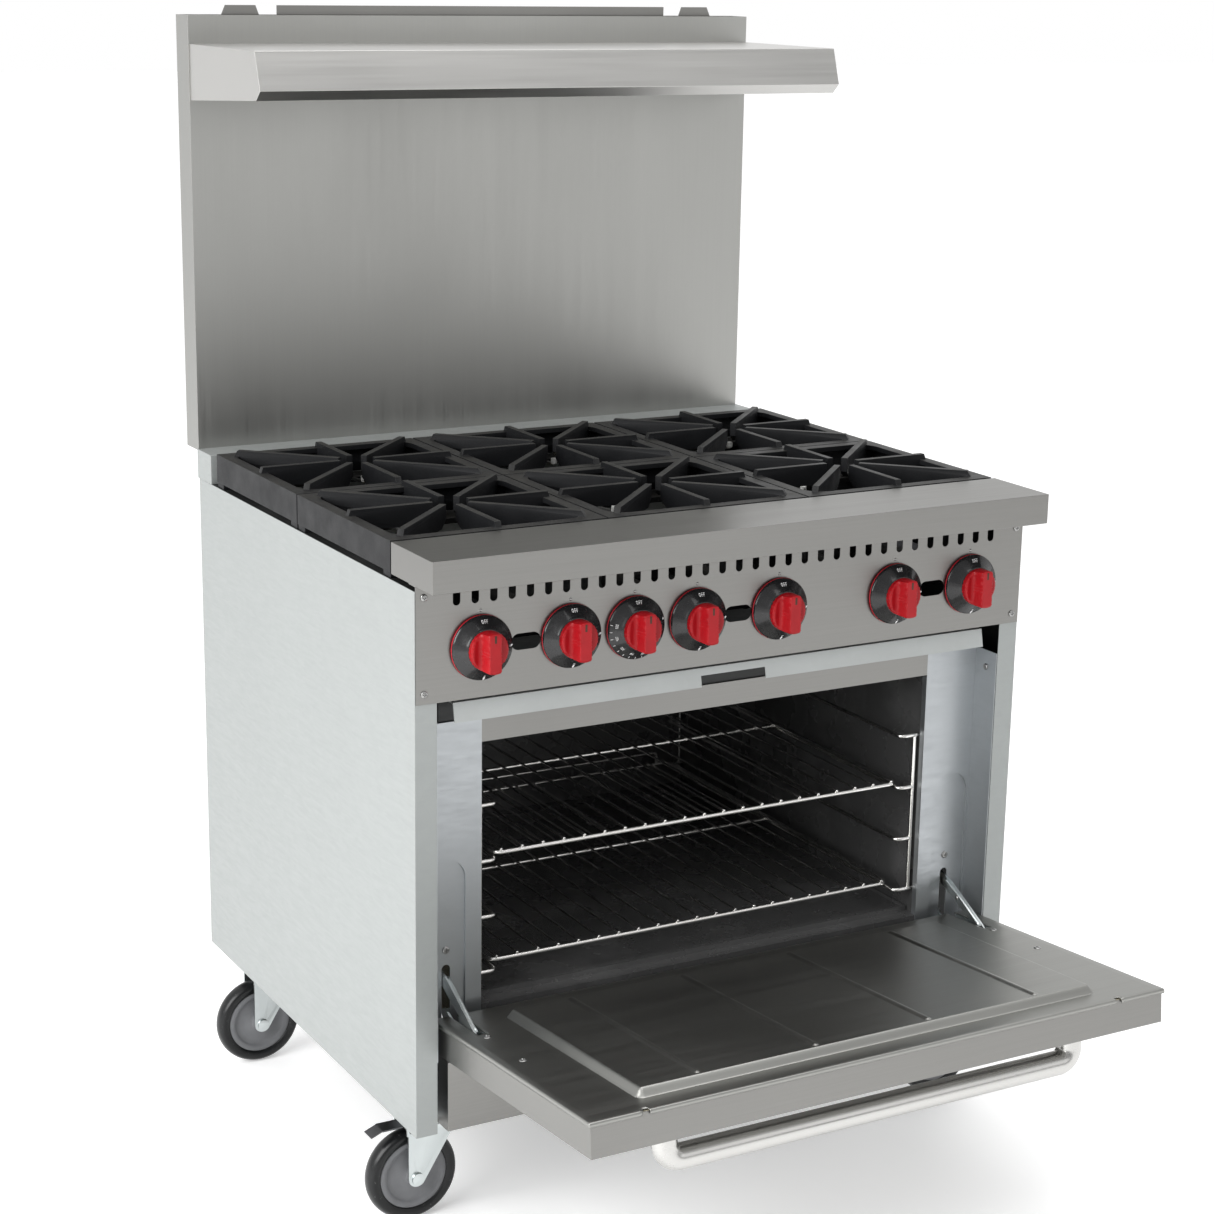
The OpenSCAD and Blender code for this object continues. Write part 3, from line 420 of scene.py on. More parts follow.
def brushed(name, colour, roughness, along, grain=0.06, metallic=1.0):
    """Brushed sheet: fine streaks along one axis vary its shade and gloss, and soft clouds its gloss."""
    finish = Finish(name, colour, metallic, roughness)
    stretch = [430.0] * 3
    stretch["xyz".index(along)] = 5.0
    fine = finish.noise(1.0, stretch, detail=4)
    broad = [60.0] * 3
    broad["xyz".index(along)] = 2.0
    wide = finish.noise(1.0, broad, detail=2)
    streak = finish.maths("ADD", finish.maths("MULTIPLY", fine, 0.65), finish.maths("MULTIPLY", wide, 0.35))
    finish.colour(finish.shades(streak, ((0.25, tint(colour, 1 - grain)), (0.75, tint(colour, 1 + grain)))))
    cloud = finish.span(finish.noise(2.6, detail=2), 0.3, 0.7, -0.035, 0.035)
    gloss = finish.span(streak, 0.25, 0.75, roughness - 0.06, roughness + 0.07)
    finish.rough(finish.maths("ADD", gloss, cloud))
    finish.bump(fine, 0.02 * MM, 0.1)
    return finish.material


def zinc_sheet(name, colour, roughness, metallic, spangle=0.015, inside=None):
    """Zinc-coated sheet: faint crystals, soft rolling clouds and small scuffs, and a painted shade, near black,
    from `inside` on.

    `inside` is a function of the finish: 1 on the surfaces that face into the range or lie behind the tray's lip,
    where shade falls, 0 elsewhere.
    """
    finish = Finish(name, colour, metallic, roughness)
    crystals = finish.span(finish.cells(85, colour=True), 0, 1, 1 - spangle, 1 + spangle)
    clouds = finish.span(finish.noise(4.0, (1, 1, 0.4), detail=4), 0.3, 0.7, 1 - spangle, 1 + spangle)
    shade = finish.span(finish.maths("MULTIPLY", crystals, clouds), 0.9, 1.1, 0.52, 1)
    # painted shade: the colour falls to near black where `inside` is 1
    if inside:
        shade = finish.maths("MULTIPLY", shade, finish.maths("SUBTRACT", 1.0, inside(finish)))
    stops = ((0.0, tint(colour, 0.06)), (0.5, tint(colour, 0.9)), (1.0, tint(colour, 1.1)))
    finish.colour(finish.shades(shade, stops))
    scuffs = finish.noise(30, (1, 1, 6), detail=5, distortion=0.6)
    finish.rough(finish.span(scuffs, 0.35, 0.7, roughness - 0.05, roughness + 0.08))
    finish.bump(finish.noise(420, detail=2), 0.03 * MM, 0.1)
    return finish.material


def cast_iron(name, colour, paler_colour):
    """Cast iron: sandy bump at two scales, patchy gloss, and a painted highlight: faces that look up painted paler
    in patches.
    """
    finish = Finish(name, colour, 0.0, 0.5)
    sand = finish.noise(620, detail=4, roughness=0.7)
    patches = finish.noise(26, detail=4)
    geometry = finish.tree.nodes.new("ShaderNodeNewGeometry")
    parts = finish.tree.nodes.new("ShaderNodeSeparateXYZ")
    finish.link(geometry.outputs["Normal"], parts.inputs["Vector"])
    top = finish.span(parts.outputs["Z"], 0.2, 1.0, 0, 0.55)
    # painted highlight: upward faces lighter, where the light from above falls
    lit_tops = finish.maths("MULTIPLY", top, finish.span(patches, 0.4, 0.65, 0.3, 1))
    shade = finish.maths("ADD", lit_tops, finish.span(sand, 0.3, 0.7, 0, 0.18))
    finish.colour(finish.shades(shade, ((0.0, colour), (0.8, paler_colour))))
    finish.rough(finish.span(patches, 0.3, 0.7, 0.38, 0.55))
    finish.set("Specular IOR Level", 0.2)
    finish.bump(sand, 0.25 * MM, 0.35)
    finish.bump(finish.noise(120, detail=3), 0.35 * MM, 0.25)
    return finish.material


def moulded(name, colour, roughness, coat=0.0, grain=900):
    """Moulded plastic or enamel: an almost even colour with a faint orange peel."""
    finish = Finish(name, colour, 0.0, roughness)
    cloud = finish.noise(55, detail=3)
    finish.colour(finish.shades(cloud, ((0.3, tint(colour, 0.92)), (0.7, tint(colour, 1.08)))))
    finish.rough(finish.span(finish.noise(170, detail=3), 0.3, 0.7, roughness - 0.04, roughness + 0.06))
    finish.bump(finish.noise(grain, detail=2), 0.03 * MM, 0.15)
    finish.set("Specular IOR Level", 0.3)
    if coat:
        finish.set("Coat Weight", coat)
        finish.set("Coat Roughness", 0.08)
    return finish.material


def enamelled(name):
    """Black oven enamel: glossy, with fine pale specks and thin dust towards the edges of noise patches."""
    colour = (0.06, 0.06, 0.06)
    finish = Finish(name, colour, 0.0, 0.2)
    specks = finish.span(finish.cells(260), 0.0, 0.12, 0.5, 0.0)
    dust = finish.span(finish.noise(9, detail=5), 0.5, 0.8, 0, 0.5)
    shade = finish.maths("ADD", specks, dust)
    finish.colour(finish.shades(shade, ((0.0, colour), (1.0, (0.16, 0.16, 0.16)))))
    finish.set("Specular IOR Level", 0.7)
    finish.rough(finish.span(finish.noise(14, detail=4), 0.3, 0.7, 0.18, 0.34))
    finish.bump(finish.noise(240, detail=2), 0.06 * MM, 0.2)
    return finish.material


def plated(name, colour, roughness):
    """Bright plated metal: broad faint clouds, and fine scratches that vary its gloss a little."""
    finish = Finish(name, colour, 1.0, roughness)
    cloud = finish.noise(22, detail=3)
    finish.colour(finish.shades(cloud, ((0.3, tint(colour, 0.96)), (0.7, tint(colour, 1.03)))))
    scratch = finish.noise(140, (1, 1, 4), detail=3)
    finish.rough(finish.span(scratch, 0.3, 0.75, roughness - 0.02, roughness + 0.04))
    return finish.material


def rubbery(name, colour):
    """Tyre rubber: glossy black with scuffed pale specks."""
    finish = Finish(name, colour, 0.0, 0.35)
    finish.set("Specular IOR Level", 0.35)
    specks = finish.span(finish.noise(210, detail=5, roughness=0.75), 0.62, 0.74, 0, 0.8)
    finish.colour(finish.shades(specks, ((0.0, colour), (1.0, (0.22, 0.22, 0.22)))))
    finish.rough(finish.span(specks, 0, 1, 0.3, 0.7))
    finish.bump(finish.noise(300, detail=3), 0.06 * MM, 0.25)
    return finish.material


def woolly(name, colour):
    """Mineral wool: soft layered fibres."""
    finish = Finish(name, colour, 0.0, 0.9)
    fibres = finish.noise(240, (1, 1, 4), detail=6, distortion=1.4)
    finish.colour(finish.shades(fibres, ((0.3, tint(colour, 0.7)), (0.7, tint(colour, 1.1)))))
    finish.bump(fibres, 1.2 * MM, 0.6)
    finish.set("Sheen Weight", 0.2)
    return finish.material


STEEL_WIDE = brushed("stainless grain across", (0.238, 0.235, 0.225), 0.33, "x")
# the shelf's stainless is painted lighter than the front's: a painted highlight for the light from the left
SHELF_STEEL_LIT = brushed("stainless shelf, painted lighter", (0.53, 0.525, 0.51), 0.36, "x", grain=0.04)
STEEL_TALL = brushed("stainless grain upright", (0.38, 0.38, 0.365), 0.38, "z", grain=0.04)
STEEL_SMOOTH = brushed("stainless smooth rolled", (0.30, 0.30, 0.285), 0.36, "x", grain=0.02)
STEEL_TUBE = brushed("stainless polished tube", (0.52, 0.515, 0.50), 0.24, "x", grain=0.02)
PALE = (0.31, 0.327, 0.322)
PALE_SHEET = zinc_sheet("pale galvanised sheet", PALE, 0.42, 0.35)
# side panels: painted shade on their faces within the range
BODY_SHEET = zinc_sheet("pale sheet, painted shade within", PALE, 0.42, 0.35, inside=shade_within_body)
# crumb tray: painted shade behind its lip
TRAY_SHEET = zinc_sheet("pale sheet, painted shade behind lip", (0.41, 0.43, 0.425), 0.42, 0.35, inside=shade_behind_lip)
POST_SHEET = zinc_sheet("zinc post sheet", (0.42, 0.44, 0.455), 0.4, 0.9)
ZINC = plated("zinc plate", (0.60, 0.64, 0.64), 0.33)
DARK_STEEL = plated("dark steel", (0.10, 0.10, 0.105), 0.3)
SCREW = plated("screw plate", (0.35, 0.35, 0.345), 0.3)
CHROME = plated("chrome wire", (0.80, 0.79, 0.77), 0.22)
BRASS = plated("brass", (0.62, 0.47, 0.22), 0.25)
PIPE = moulded("steel pipe", (0.06, 0.06, 0.065), 0.45)
IRON = cast_iron("grate iron", (0.0055, 0.006, 0.0075), (0.032, 0.031, 0.028))
DECK_IRON = cast_iron("deck iron", (0.006, 0.006, 0.006), (0.02, 0.019, 0.017))
ENAMEL = enamelled("oven enamel")
SKIRT_BLACK = moulded("knob skirt black", (0.012, 0.012, 0.013), 0.24, coat=0.4)
RED = moulded("knob red", (0.32, 0.003, 0.007), 0.4)
RIM_RED = moulded("knob rim red", (0.45, 0.008, 0.02), 0.4)
WHITE = moulded("mark white", (0.82, 0.82, 0.82), 0.5)
# the knob's pointer slot: a painted shade, dark red-brown, on a flat wafer
NOTCH_SHADE = moulded("pointer slot painted shade", (0.05, 0.02, 0.012), 0.5)
CERAMIC = moulded("pilot ceramic", (0.75, 0.75, 0.72), 0.4)
TYRE = rubbery("tyre rubber", (0.006, 0.0065, 0.007))
HUB = moulded("hub grey", (0.145, 0.148, 0.155), 0.42)
WOOL = woolly("mineral wool", (0.55, 0.50, 0.36))


# ---------------------------------------------------------------- CAD nodes with rounded edges

for node in ("front_ledge", "kick_plate"):
    rounded(node, STEEL_WIDE, 0.6 * MM)
rounded("high_shelf", SHELF_STEEL_LIT, 0.6 * MM)
for node in ("control_panel", "oven_header", "flue_baffle"):
    plain(node, STEEL_WIDE)
rounded("backguard", STEEL_TALL, 0.6 * MM)
rounded("door_shell", STEEL_WIDE, 0.7 * MM)
for node in ("side_panel_left", "side_panel_right"):
    rounded(node, BODY_SHEET, 0.6 * MM)
rounded("rear_riser", PALE_SHEET, 0.6 * MM)
plain("rear_panel", PALE_SHEET)
plain("crumb_tray", TRAY_SHEET)
for node in ("hinge_posts", "base_frame"):
    plain(node, POST_SHEET)
for node in ("oven_liner", "oven_floor"):
    plain(node, ENAMEL)
for node in [n for n in NODES if n.startswith("grate_")]:
    rounded(node, IRON, 1.5 * MM, segments=3)
for node in ("top_frame", "burners", "oven_burner"):
    rounded(node, DECK_IRON, 1.2 * MM)
BRACKETS = ("caster_plates", "hinge_claws", "hinge_channels")
for node in [n for n in NODES if n.startswith("fork_") or n in BRACKETS]:
    rounded(node, ZINC, 0.5 * MM)
for node in ("brake_left", "brake_right"):
    rounded(node, DARK_STEEL, 0.5 * MM)
for node in ("oven_insulation", "door_insulation"):
    rounded(node, WOOL, 2 * MM)
rounded("gas_manifold", PIPE, 0.0, smooth=50)
rounded("gas_valves", BRASS, 0.6 * MM)


# ---------------------------------------------------------------- knobs

SKIRT_R = 41 * MM
SKIRT_W = 6 * MM       # where the cone starts
CONE_R = 26 * MM
CONE_W = 18 * MM
GRIP_R = 25 * MM
GRIP_BASE = 27 * MM
GRIP_TOP = 41.8 * MM
BAR_HALF = 8.5 * MM


def skirt_point(radius, angle, lift=0.12 * MM):
    """A point on the skirt's cone: clockwise angle from the top, seen from the front."""
    out = SKIRT_W + (SKIRT_R - radius) * (CONE_W - SKIRT_W) / (SKIRT_R - CONE_R) + lift
    return np.stack([radius * np.sin(angle), radius * np.cos(angle), out + 0 * radius * angle], -1)


def stroke(angle, radius, s0, s1, t0, t1):
    """A small rectangle on the skirt: s runs clockwise along the rim, t outwards."""
    s = np.linspace(s0, s1, 4)[:, None] + 0 * np.zeros(3)
    t = np.linspace(t0, t1, 3)[None, :] + 0 * np.zeros((4, 1))
    return grid(skirt_point(radius + t * MM, angle + s * MM / radius))


def ring_mark(angle, radius, s, half_w, half_h, wall):
    """The letter O: a band between two ellipses."""
    turn = np.linspace(0, 2 * np.pi, 20, endpoint=False)
    share = np.array([1.0, 1.0 - wall])[:, None]
    s = s + half_w * share * np.sin(turn)
    t = half_h * share * np.cos(turn)
    return grid(skirt_point(radius + t * MM, angle + s * MM / radius), close_cols=True)


def letter_f(angle, radius, s):
    bars = ((-1.0, -0.35, -2.1, 2.1), (-0.35, 1.1, 1.5, 2.1), (-0.35, 0.8, -0.2, 0.4))
    return [stroke(angle, radius, s + s0, s + s1, t0, t1) for s0, s1, t0, t1 in bars]


def off_mark():
    radius = 34.5 * MM
    return [ring_mark(0, radius, -3.0, 1.35, 2.1, 0.42)] + letter_f(0, radius, 0.4) + letter_f(0, radius, 3.2)


def flame_mark(angle):
    """A teardrop over a bar: r = 1.9 (1 + 0.35 cos 2t) outwards from its middle."""
    radius = 37 * MM
    turn = np.linspace(0, 2 * np.pi, 20, endpoint=False)
    share = np.linspace(0.001, 1, 4)[:, None]
    reach = 1.7 + 0.6 * np.cos(turn) ** 3
    s = share * 0.75 * reach * np.sin(turn)
    t = share * 1.35 * reach * np.cos(turn) + 0.3
    return [grid(skirt_point(radius + t * MM, angle + s * MM / radius), close_cols=True),
            stroke(angle, radius, -1.5, 1.5, -3.0, -2.3)]


SEGMENTS = {"0": "abcdef", "2": "abged", "3": "abgcd", "4": "fgbc", "5": "afgcd"}


def digit(char, angle, radius, s):
    """A numeral of up to seven strokes, 1.4 wide and 2.6 tall."""
    bars = {"a": (-0.7, 0.7, 1.0, 1.35), "g": (-0.7, 0.7, -0.17, 0.17), "d": (-0.7, 0.7, -1.35, -1.0),
            "f": (-0.7, -0.35, 0.1, 1.3), "e": (-0.7, -0.35, -1.3, -0.1),
            "b": (0.35, 0.7, 0.1, 1.3), "c": (0.35, 0.7, -1.3, -0.1)}
    lit = [bars[key] for key in SEGMENTS[char]]
    return [stroke(angle, radius, s + s0, s + s1, t0, t1) for s0, s1, t0, t1 in lit]


def oven_marks():
    """OFF, a pointer, and ticks with a number at every other tick round the lower left."""
    marks = off_mark() + [stroke(math.radians(76), 37.5 * MM, -1.2, 1.2, -1.2, 1.6)]
    for k in range(9):
        angle = math.radians(282 - 14 * k)
        marks.append(stroke(angle, 38.3 * MM, -0.35, 0.35, -1.3, 1.3))
        if k % 2 == 0:
            number = ("500", "400", "300", "250", "200")[k // 2]
            for place_at, char in zip((-1.9, 0, 1.9), number):
                marks += digit(char, angle, 33 * MM, place_at)
    return marks


def skirt_shape():
    """Profile: flat back, rounded rim, a slightly hollow cone up to a lip under the grip."""
    rim = [(40.2, 3.0), (40.8, 3.3), (41.0, 4.0), (41.0, 5.2), (40.7, 5.9), (40.2, 6.5)]
    radii = np.linspace(39.4, 27, 9)
    cone = [(r, 6 + (41 - r) * 0.8 - 0.35 * math.sin(math.pi * (41 - r) / 15)) for r in radii]
    back = [(0, 3.0), (20, 3.0)]
    front = [(26.2, 18.0), (25.6, 18.4), (22, 18.4), (0, 18.4)]
    return lathe(np.array(back + rim + cone + front) * MM, 96)


def grip_shape():
    """Height over a disc with a bar across it, h = base + rise S((bar + 2.2 - |x|) / 2.6)."""
    turn = np.linspace(0, 2 * np.pi, 120, endpoint=False)
    share = np.concatenate([[0.001], np.linspace(0.06, 0.9, 15), [0.94, 0.97, 0.99, 1.0]])[:, None]
    side = np.abs(np.cos(turn))
    rim = GRIP_R * (1 + 0.012 * np.cos(30 * turn) * smoothstep((side - 0.45) / 0.1))
    x = share * rim * np.cos(turn)
    z = share * rim * np.sin(turn)
    bar = smoothstep((BAR_HALF + 2.2 * MM - np.abs(x)) / (2.6 * MM))
    scoop = 2.0 * MM * np.exp(-((np.abs(x) - 15 * MM) / (5 * MM)) ** 2)
    rise = (GRIP_TOP - GRIP_BASE - 0.02 * z) * bar - scoop * (1 - bar)
    fall = 1.2 * MM * smoothstep((share - 0.9) / 0.1) ** 2
    top = np.stack([x, z, GRIP_BASE + rise - fall], -1)
    wall = []
    for level in (0.97, 0.5, 0.05):
        base = 18.2 * MM
        height = base + (top[-1, :, 2] - base) * level
        wall.append(np.stack([x[-1] * 1.01, z[-1] * 1.01, height], -1))
    wall.append(np.stack([x[-1] * 0.9, z[-1] * 0.9, np.full(len(turn), 18.2 * MM)], -1))
    return grid(np.concatenate([top, np.array(wall)]), close_cols=True)


def pointer_shape():
    """The slot at the top of the bar, drawn as a thin wafer on its face that carries the slot's painted shade."""
    outline = np.array([[-1.5, 13], [1.5, 13], [1.5, 23.4], [-1.5, 23.4]]) * MM
    points, faces = plate(outline, 0.5 * MM)
    points[:, 2] += GRIP_TOP - 0.28 * MM
    return points, faces


def knob(name):
    low, high = corner(name)
    centre_x = (low[0] + high[0]) / 2
    centre_z = (low[2] + high[2]) / 2
    at = ((centre_x, FRONT_Y, centre_z), (1, 0, 0), (0, 0, 1), (0, -1, 0))
    is_oven = name == "knob_oven"
    skirt = piece(f"{name}_skirt", place(skirt_shape(), *at), name, SKIRT_BLACK, 40)
    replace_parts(skirt, name)
    piece(f"{name}_grip", place(grip_shape(), *at), name, RED, 48)
    band = [(30, 1.2), (40.6, 1.2), (41.2, 1.8), (41.2, 2.6), (40.6, 3.1), (30, 3.1), (30, 1.2)]
    rim = lathe(np.array(band) * MM, 96)
    piece(f"{name}_rim", place(rim, *at), name, RIM_RED)
    piece(f"{name}_pointer", place(pointer_shape(), *at), name, NOTCH_SHADE)
    marks = oven_marks() if is_oven else off_mark() + flame_mark(math.pi / 2) + flame_mark(math.pi)
    thing = piece(f"{name}_marks", place(join(marks), *at), name, WHITE)
    printed = thing.modifiers.new("print thickness", "SOLIDIFY")
    printed.thickness = 0.1 * MM
    stem = lathe(np.array([(0, 34), (3.6, 34), (4, 33.5), (4, -3.2), (0, -3.2)]) * MM, 32)
    piece(f"{name}_stem", place(stem, at[0], at[1], at[2], (0, 1, 0)), name, SCREW)


for node in [n for n in NODES if n.startswith("knob_")]:
    knob(node)


# ---------------------------------------------------------------- screws

def screw_shape(radius, height):
    """A pan head with a cross: a dome that dips where |x| or |y| is under the slot's half width."""
    turn = np.linspace(0, 2 * np.pi, 48, endpoint=False)
    share = np.array([0.001, 0.1, 0.18, 0.26, 0.34, 0.42, 0.5, 0.6, 0.7, 0.8, 0.9, 0.97, 1.0])[:, None]
    x = share * radius * np.cos(turn)
    y = share * radius * np.sin(turn)
    dome = height * np.sqrt(np.clip(1 - 0.75 * share ** 4, 0, 1))
    cross = smoothstep((0.17 * radius - np.minimum(np.abs(x), np.abs(y))) / (0.08 * radius))
    dip = 0.55 * height * cross * smoothstep((0.62 - share) / 0.1)
    top = np.stack([x, y, np.broadcast_to(dome, x.shape) - dip], -1)
    foot = np.stack([x[-1], y[-1], np.zeros(len(turn))], -1)[None]
    return grid(np.concatenate([top, foot, foot * [0, 0, 1]]), close_cols=True)


def screws(node, name):
    """One cross-head screw on each solid of a screw node, facing the way that its thin side does."""
    shapes = []
    for low, high in islands(node):
        size, middle = high - low, (low + high) / 2
        if size[0] < size[2] - MM:
            inward = -math.copysign(1, middle[0])
            base = (high[0] if inward < 0 else low[0], middle[1], middle[2])
            axes = ((0, 1, 0), (0, 0, 1), (inward, 0, 0))
            radius = size[2] / 2
        else:
            radius = size[2] / 2
            base = (middle[0], low[1] + 2.4 * MM, middle[2])
            axes = ((1, 0, 0), (0, 0, 1), (0, -1, 0))
        shapes.append(place(screw_shape(radius, 2.3 * MM), base, *axes))
    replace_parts(piece(name, join(shapes), BODY_OF[node], SCREW, 30), node)


screws("panel_screws", "panel_screw_heads")


def door_screw_heads():
    shapes = []
    up = from_door([[0, 0, 1]])[0] - from_door([[0, 0, 0]])[0]
    along = from_door([[0, 1, 0]])[0] - from_door([[0, 0, 0]])[0]
    for low, high in islands("door_screws"):
        middle = to_door((low + high) / 2)
        middle[2] = door_box("door_screws")[0][2]
        shapes.append(place(screw_shape(5 * MM, 2.3 * MM), from_door(middle), (1, 0, 0), along, up))
    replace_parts(piece("door_screw_heads", join(shapes), "door", SCREW, 30), "door_screws")


door_screw_heads()


# ---------------------------------------------------------------- door liner and handle

LINER_LOW, LINER_HIGH = door_box("door_liner")
SHELL_HIGH = door_box("door_shell")[1]
INNER_B = SHELL_HIGH[2] + SHEET - 0.25 * MM       # the liner's flat face, just clear of the posts when shut
PAN_HALF = 338 * MM
PAN_RISE = 10.3 * MM    # with its beads it stays under the lower rack when that slides out
PAN_SLOPE = 9 * MM
PAN_ROUND = 10 * MM
BEAD_HALF = 6 * MM
BEAD_RISE = 1.9 * MM
ARM_INSET = 28.5 * MM       # from the door's side to the middle of a stay arm's slot
ARM_SLOT = 6 * MM           # half the width of that slot
ARM_SLOT_TOP = 80 * MM
NOTCH_OUT = 8 * MM          # from the pan's side to the middle of a notch in the top edge
NOTCH_SLOT = 4.5 * MM
NOTCH_DEPTH = 5 * MM
BEADS = [k * PAN_HALF / 2.03 for k in (-1.5, -0.5, 0.5, 1.5)]
OVEN_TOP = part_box("oven_header")[0].z
OVEN_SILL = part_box("oven_floor")[0].z


def pan_height(x, a):
    """The pan's rise over the liner: a rounded rectangle's inward distance d gives a slope with eased
    ends, rise = H (0.75 d/w + 0.25 S(d/w)), plus four beads h (1 + cos(pi x/w))/2 along the door."""
    a_low = OVEN_SILL + 10 * MM - HINGE[2]
    a_high = OVEN_TOP - 2 * MM - HINGE[2]
    middle, half = (a_low + a_high) / 2, (a_high - a_low) / 2
    dx = np.abs(x) - (PAN_HALF - PAN_ROUND)
    da = np.abs(a - middle) - (half - PAN_ROUND)
    outside = np.hypot(np.maximum(dx, 0), np.maximum(da, 0)) + np.minimum(np.maximum(dx, da), 0) - PAN_ROUND
    inward = np.clip(-outside / PAN_SLOPE, 0, 1)
    rise = PAN_RISE * (0.75 * inward + 0.25 * smoothstep(inward))
    for bead in BEADS:
        ends = np.clip(a, a_low + 16 * MM, a_high - 16 * MM)
        off = np.clip(np.hypot(x - bead, a - ends) / BEAD_HALF, 0, 1)
        rise = rise + BEAD_RISE * (1 + np.cos(np.pi * off)) / 2
    return rise, a_low, a_high


def door_liner():
    """The inner sheet as a height over (x, a), with its rim folded down over the shell, then given a wall."""
    _, a_low, a_high = pan_height(np.zeros(1), np.zeros(1))
    half, low_a, high_a = LINER_HIGH[0], LINER_LOW[1], LINER_HIGH[1]
    arm_x = half - ARM_INSET
    notch_x = PAN_HALF + NOTCH_OUT
    fine_x = [(s * (PAN_HALF - PAN_SLOPE / 2), 8 * MM, 1.2 * MM) for s in (-1, 1)]
    fine_x += [(bead, BEAD_HALF + MM, 0.9 * MM) for bead in BEADS]
    x = stations(-half + 2 * MM, half - 2 * MM, 9 * MM, fine_x)
    cuts = [(s * arm_x, ARM_SLOT) for s in (-1, 1)] + [(s * notch_x, NOTCH_SLOT) for s in (-1, 1)]
    x = np.unique(np.concatenate([x] + [[middle - reach, middle + reach] for middle, reach in cuts]))
    a = stations(low_a + 2 * MM, high_a - 2 * MM, 9 * MM,
                 [(a_low + PAN_SLOPE / 2, 8 * MM, 1.2 * MM), (a_high - PAN_SLOPE / 2, 8 * MM, 1.2 * MM),
                  (a_high - 16 * MM, 7 * MM, 1 * MM), (a_low + 16 * MM, 7 * MM, 1 * MM)])
    a = np.unique(np.concatenate([a, [ARM_SLOT_TOP, high_a - NOTCH_DEPTH]]))
    fold = np.array([(-0.9, 0.08), (-0.4, 0.35), (-0.1, 0.9), (0, 1.6), (0, 5.0)]) * MM
    foot = fold[:4]
    xs = np.concatenate([-(half + fold[::-1, 0]), x, half + fold[:, 0]])
    drop_x = np.concatenate([fold[::-1, 1], 0 * x, fold[:, 1]])
    as_ = np.concatenate([low_a - foot[::-1, 0], a, high_a + fold[:, 0]])
    drop_a = np.concatenate([foot[::-1, 1], 0 * a, fold[:, 1]])
    grid_x, grid_a = np.meshgrid(xs, as_, indexing="ij")
    rise, _, _ = pan_height(grid_x, grid_a)
    drop = np.maximum(drop_x[:, None], drop_a[None, :])
    points = from_door(np.stack([grid_x, grid_a, INNER_B + rise - drop], -1))
    cloud, faces = grid(points)
    mid_x = grid_x.ravel()[faces].mean(1)
    mid_a = grid_a.ravel()[faces].mean(1)
    in_slot = (np.abs(np.abs(mid_x) - arm_x) < ARM_SLOT) & (mid_a < ARM_SLOT_TOP)
    in_notch = (np.abs(np.abs(mid_x) - notch_x) < NOTCH_SLOT) & (mid_a > high_a - NOTCH_DEPTH)
    sheet = (cloud, faces[~(in_slot | in_notch)][:, ::-1])
    thing = piece("door_liner_pan", sheet, "door", STEEL_SMOOTH, 60, recalc=False)
    wall = thing.modifiers.new("sheet thickness", "SOLIDIFY")
    wall.thickness = 1.2 * MM
    wall.offset = -1
    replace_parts(thing, "door_liner")


door_liner()


def door_handle():
    """The bent tube: up one leg, along the door and down the other."""
    low, high = door_box("door_handle")
    radius = (high[1] - low[1]) / 2
    a = (high[1] + low[1]) / 2
    leg = high[0] - radius
    front, foot = low[2] + radius, high[2]
    corners = [(-leg, a, foot), (-leg, a, front), (leg, a, front), (leg, a, foot)]
    shapes = [tube(from_door(fillet(corners, 34 * MM, 14)), radius, 36)]
    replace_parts(piece("door_handle_tube", join(shapes), "door", STEEL_TUBE, 50), "door_handle")


door_handle()


# ---------------------------------------------------------------- stay arms

def stay_arm(node):
    """The plate from the frame, with a bright folded edge along its top and two rivets."""
    rounded(node, ZINC, 0.4 * MM)
    low, high = corner(node)
    side = 1 if low[0] > 0 else -1
    joint = JOINT[f"{node}_pivot"]
    pivot = np.array(joint["pos_m"])
    tip = np.array([0, (high[1] - 7 * MM), (high[2] - 7 * MM)])
    run = tip[1:] - pivot[1:]
    length = np.linalg.norm(run)
    run /= length
    up = np.array([-run[1], run[0]])
    if up[1] < 0:
        up = -up
    x_in = low[0] if side > 0 else high[0]
    shapes = []
    start, end = 8 * MM, length - 26 * MM
    t = np.linspace(start, end, 14)
    lift = 6.2 * MM + 3.2 * MM * smoothstep((t - start) / (0.7 * (end - start)))
    across = np.array([0.0, 0.5, 0.85, 1.0]) * 4.2 * MM
    down = np.array([0.0, 0.0, 0.4, 1.4]) * MM
    y = pivot[1] + t[:, None] * run[0] + (lift[:, None] - down) * up[0]
    z = pivot[2] + t[:, None] * run[1] + (lift[:, None] - down) * up[1]
    x = np.broadcast_to(x_in - side * across, y.shape)
    flange = piece(f"{node}_fold", grid(np.stack([x, y, z], -1)), node, ZINC, 40, recalc=False)
    wall = flange.modifiers.new("plate thickness", "SOLIDIFY")
    wall.thickness = 0.8 * MM
    dome = lathe(np.array([(0, 1.6), (1.8, 1.5), (3.0, 1.0), (3.6, 0.2), (3.6, -0.6), (0, -0.6)]) * MM, 24)
    for at in (0.0, 0.55):
        y0, z0 = pivot[1] + at * length * run[0], pivot[2] + at * length * run[1]
        shapes.append(place(dome, (x_in, y0, z0), (0, 1, 0), (0, 0, 1), (-side, 0, 0)))
    piece(f"{node}_rivets", join(shapes), node, SCREW)


for node in ("stay_arm_left", "stay_arm_right"):
    stay_arm(node)


# ---------------------------------------------------------------- racks and guides

WIRE_R = 3 * MM
GRID_R = 2 * MM
GRID_COUNT = 21


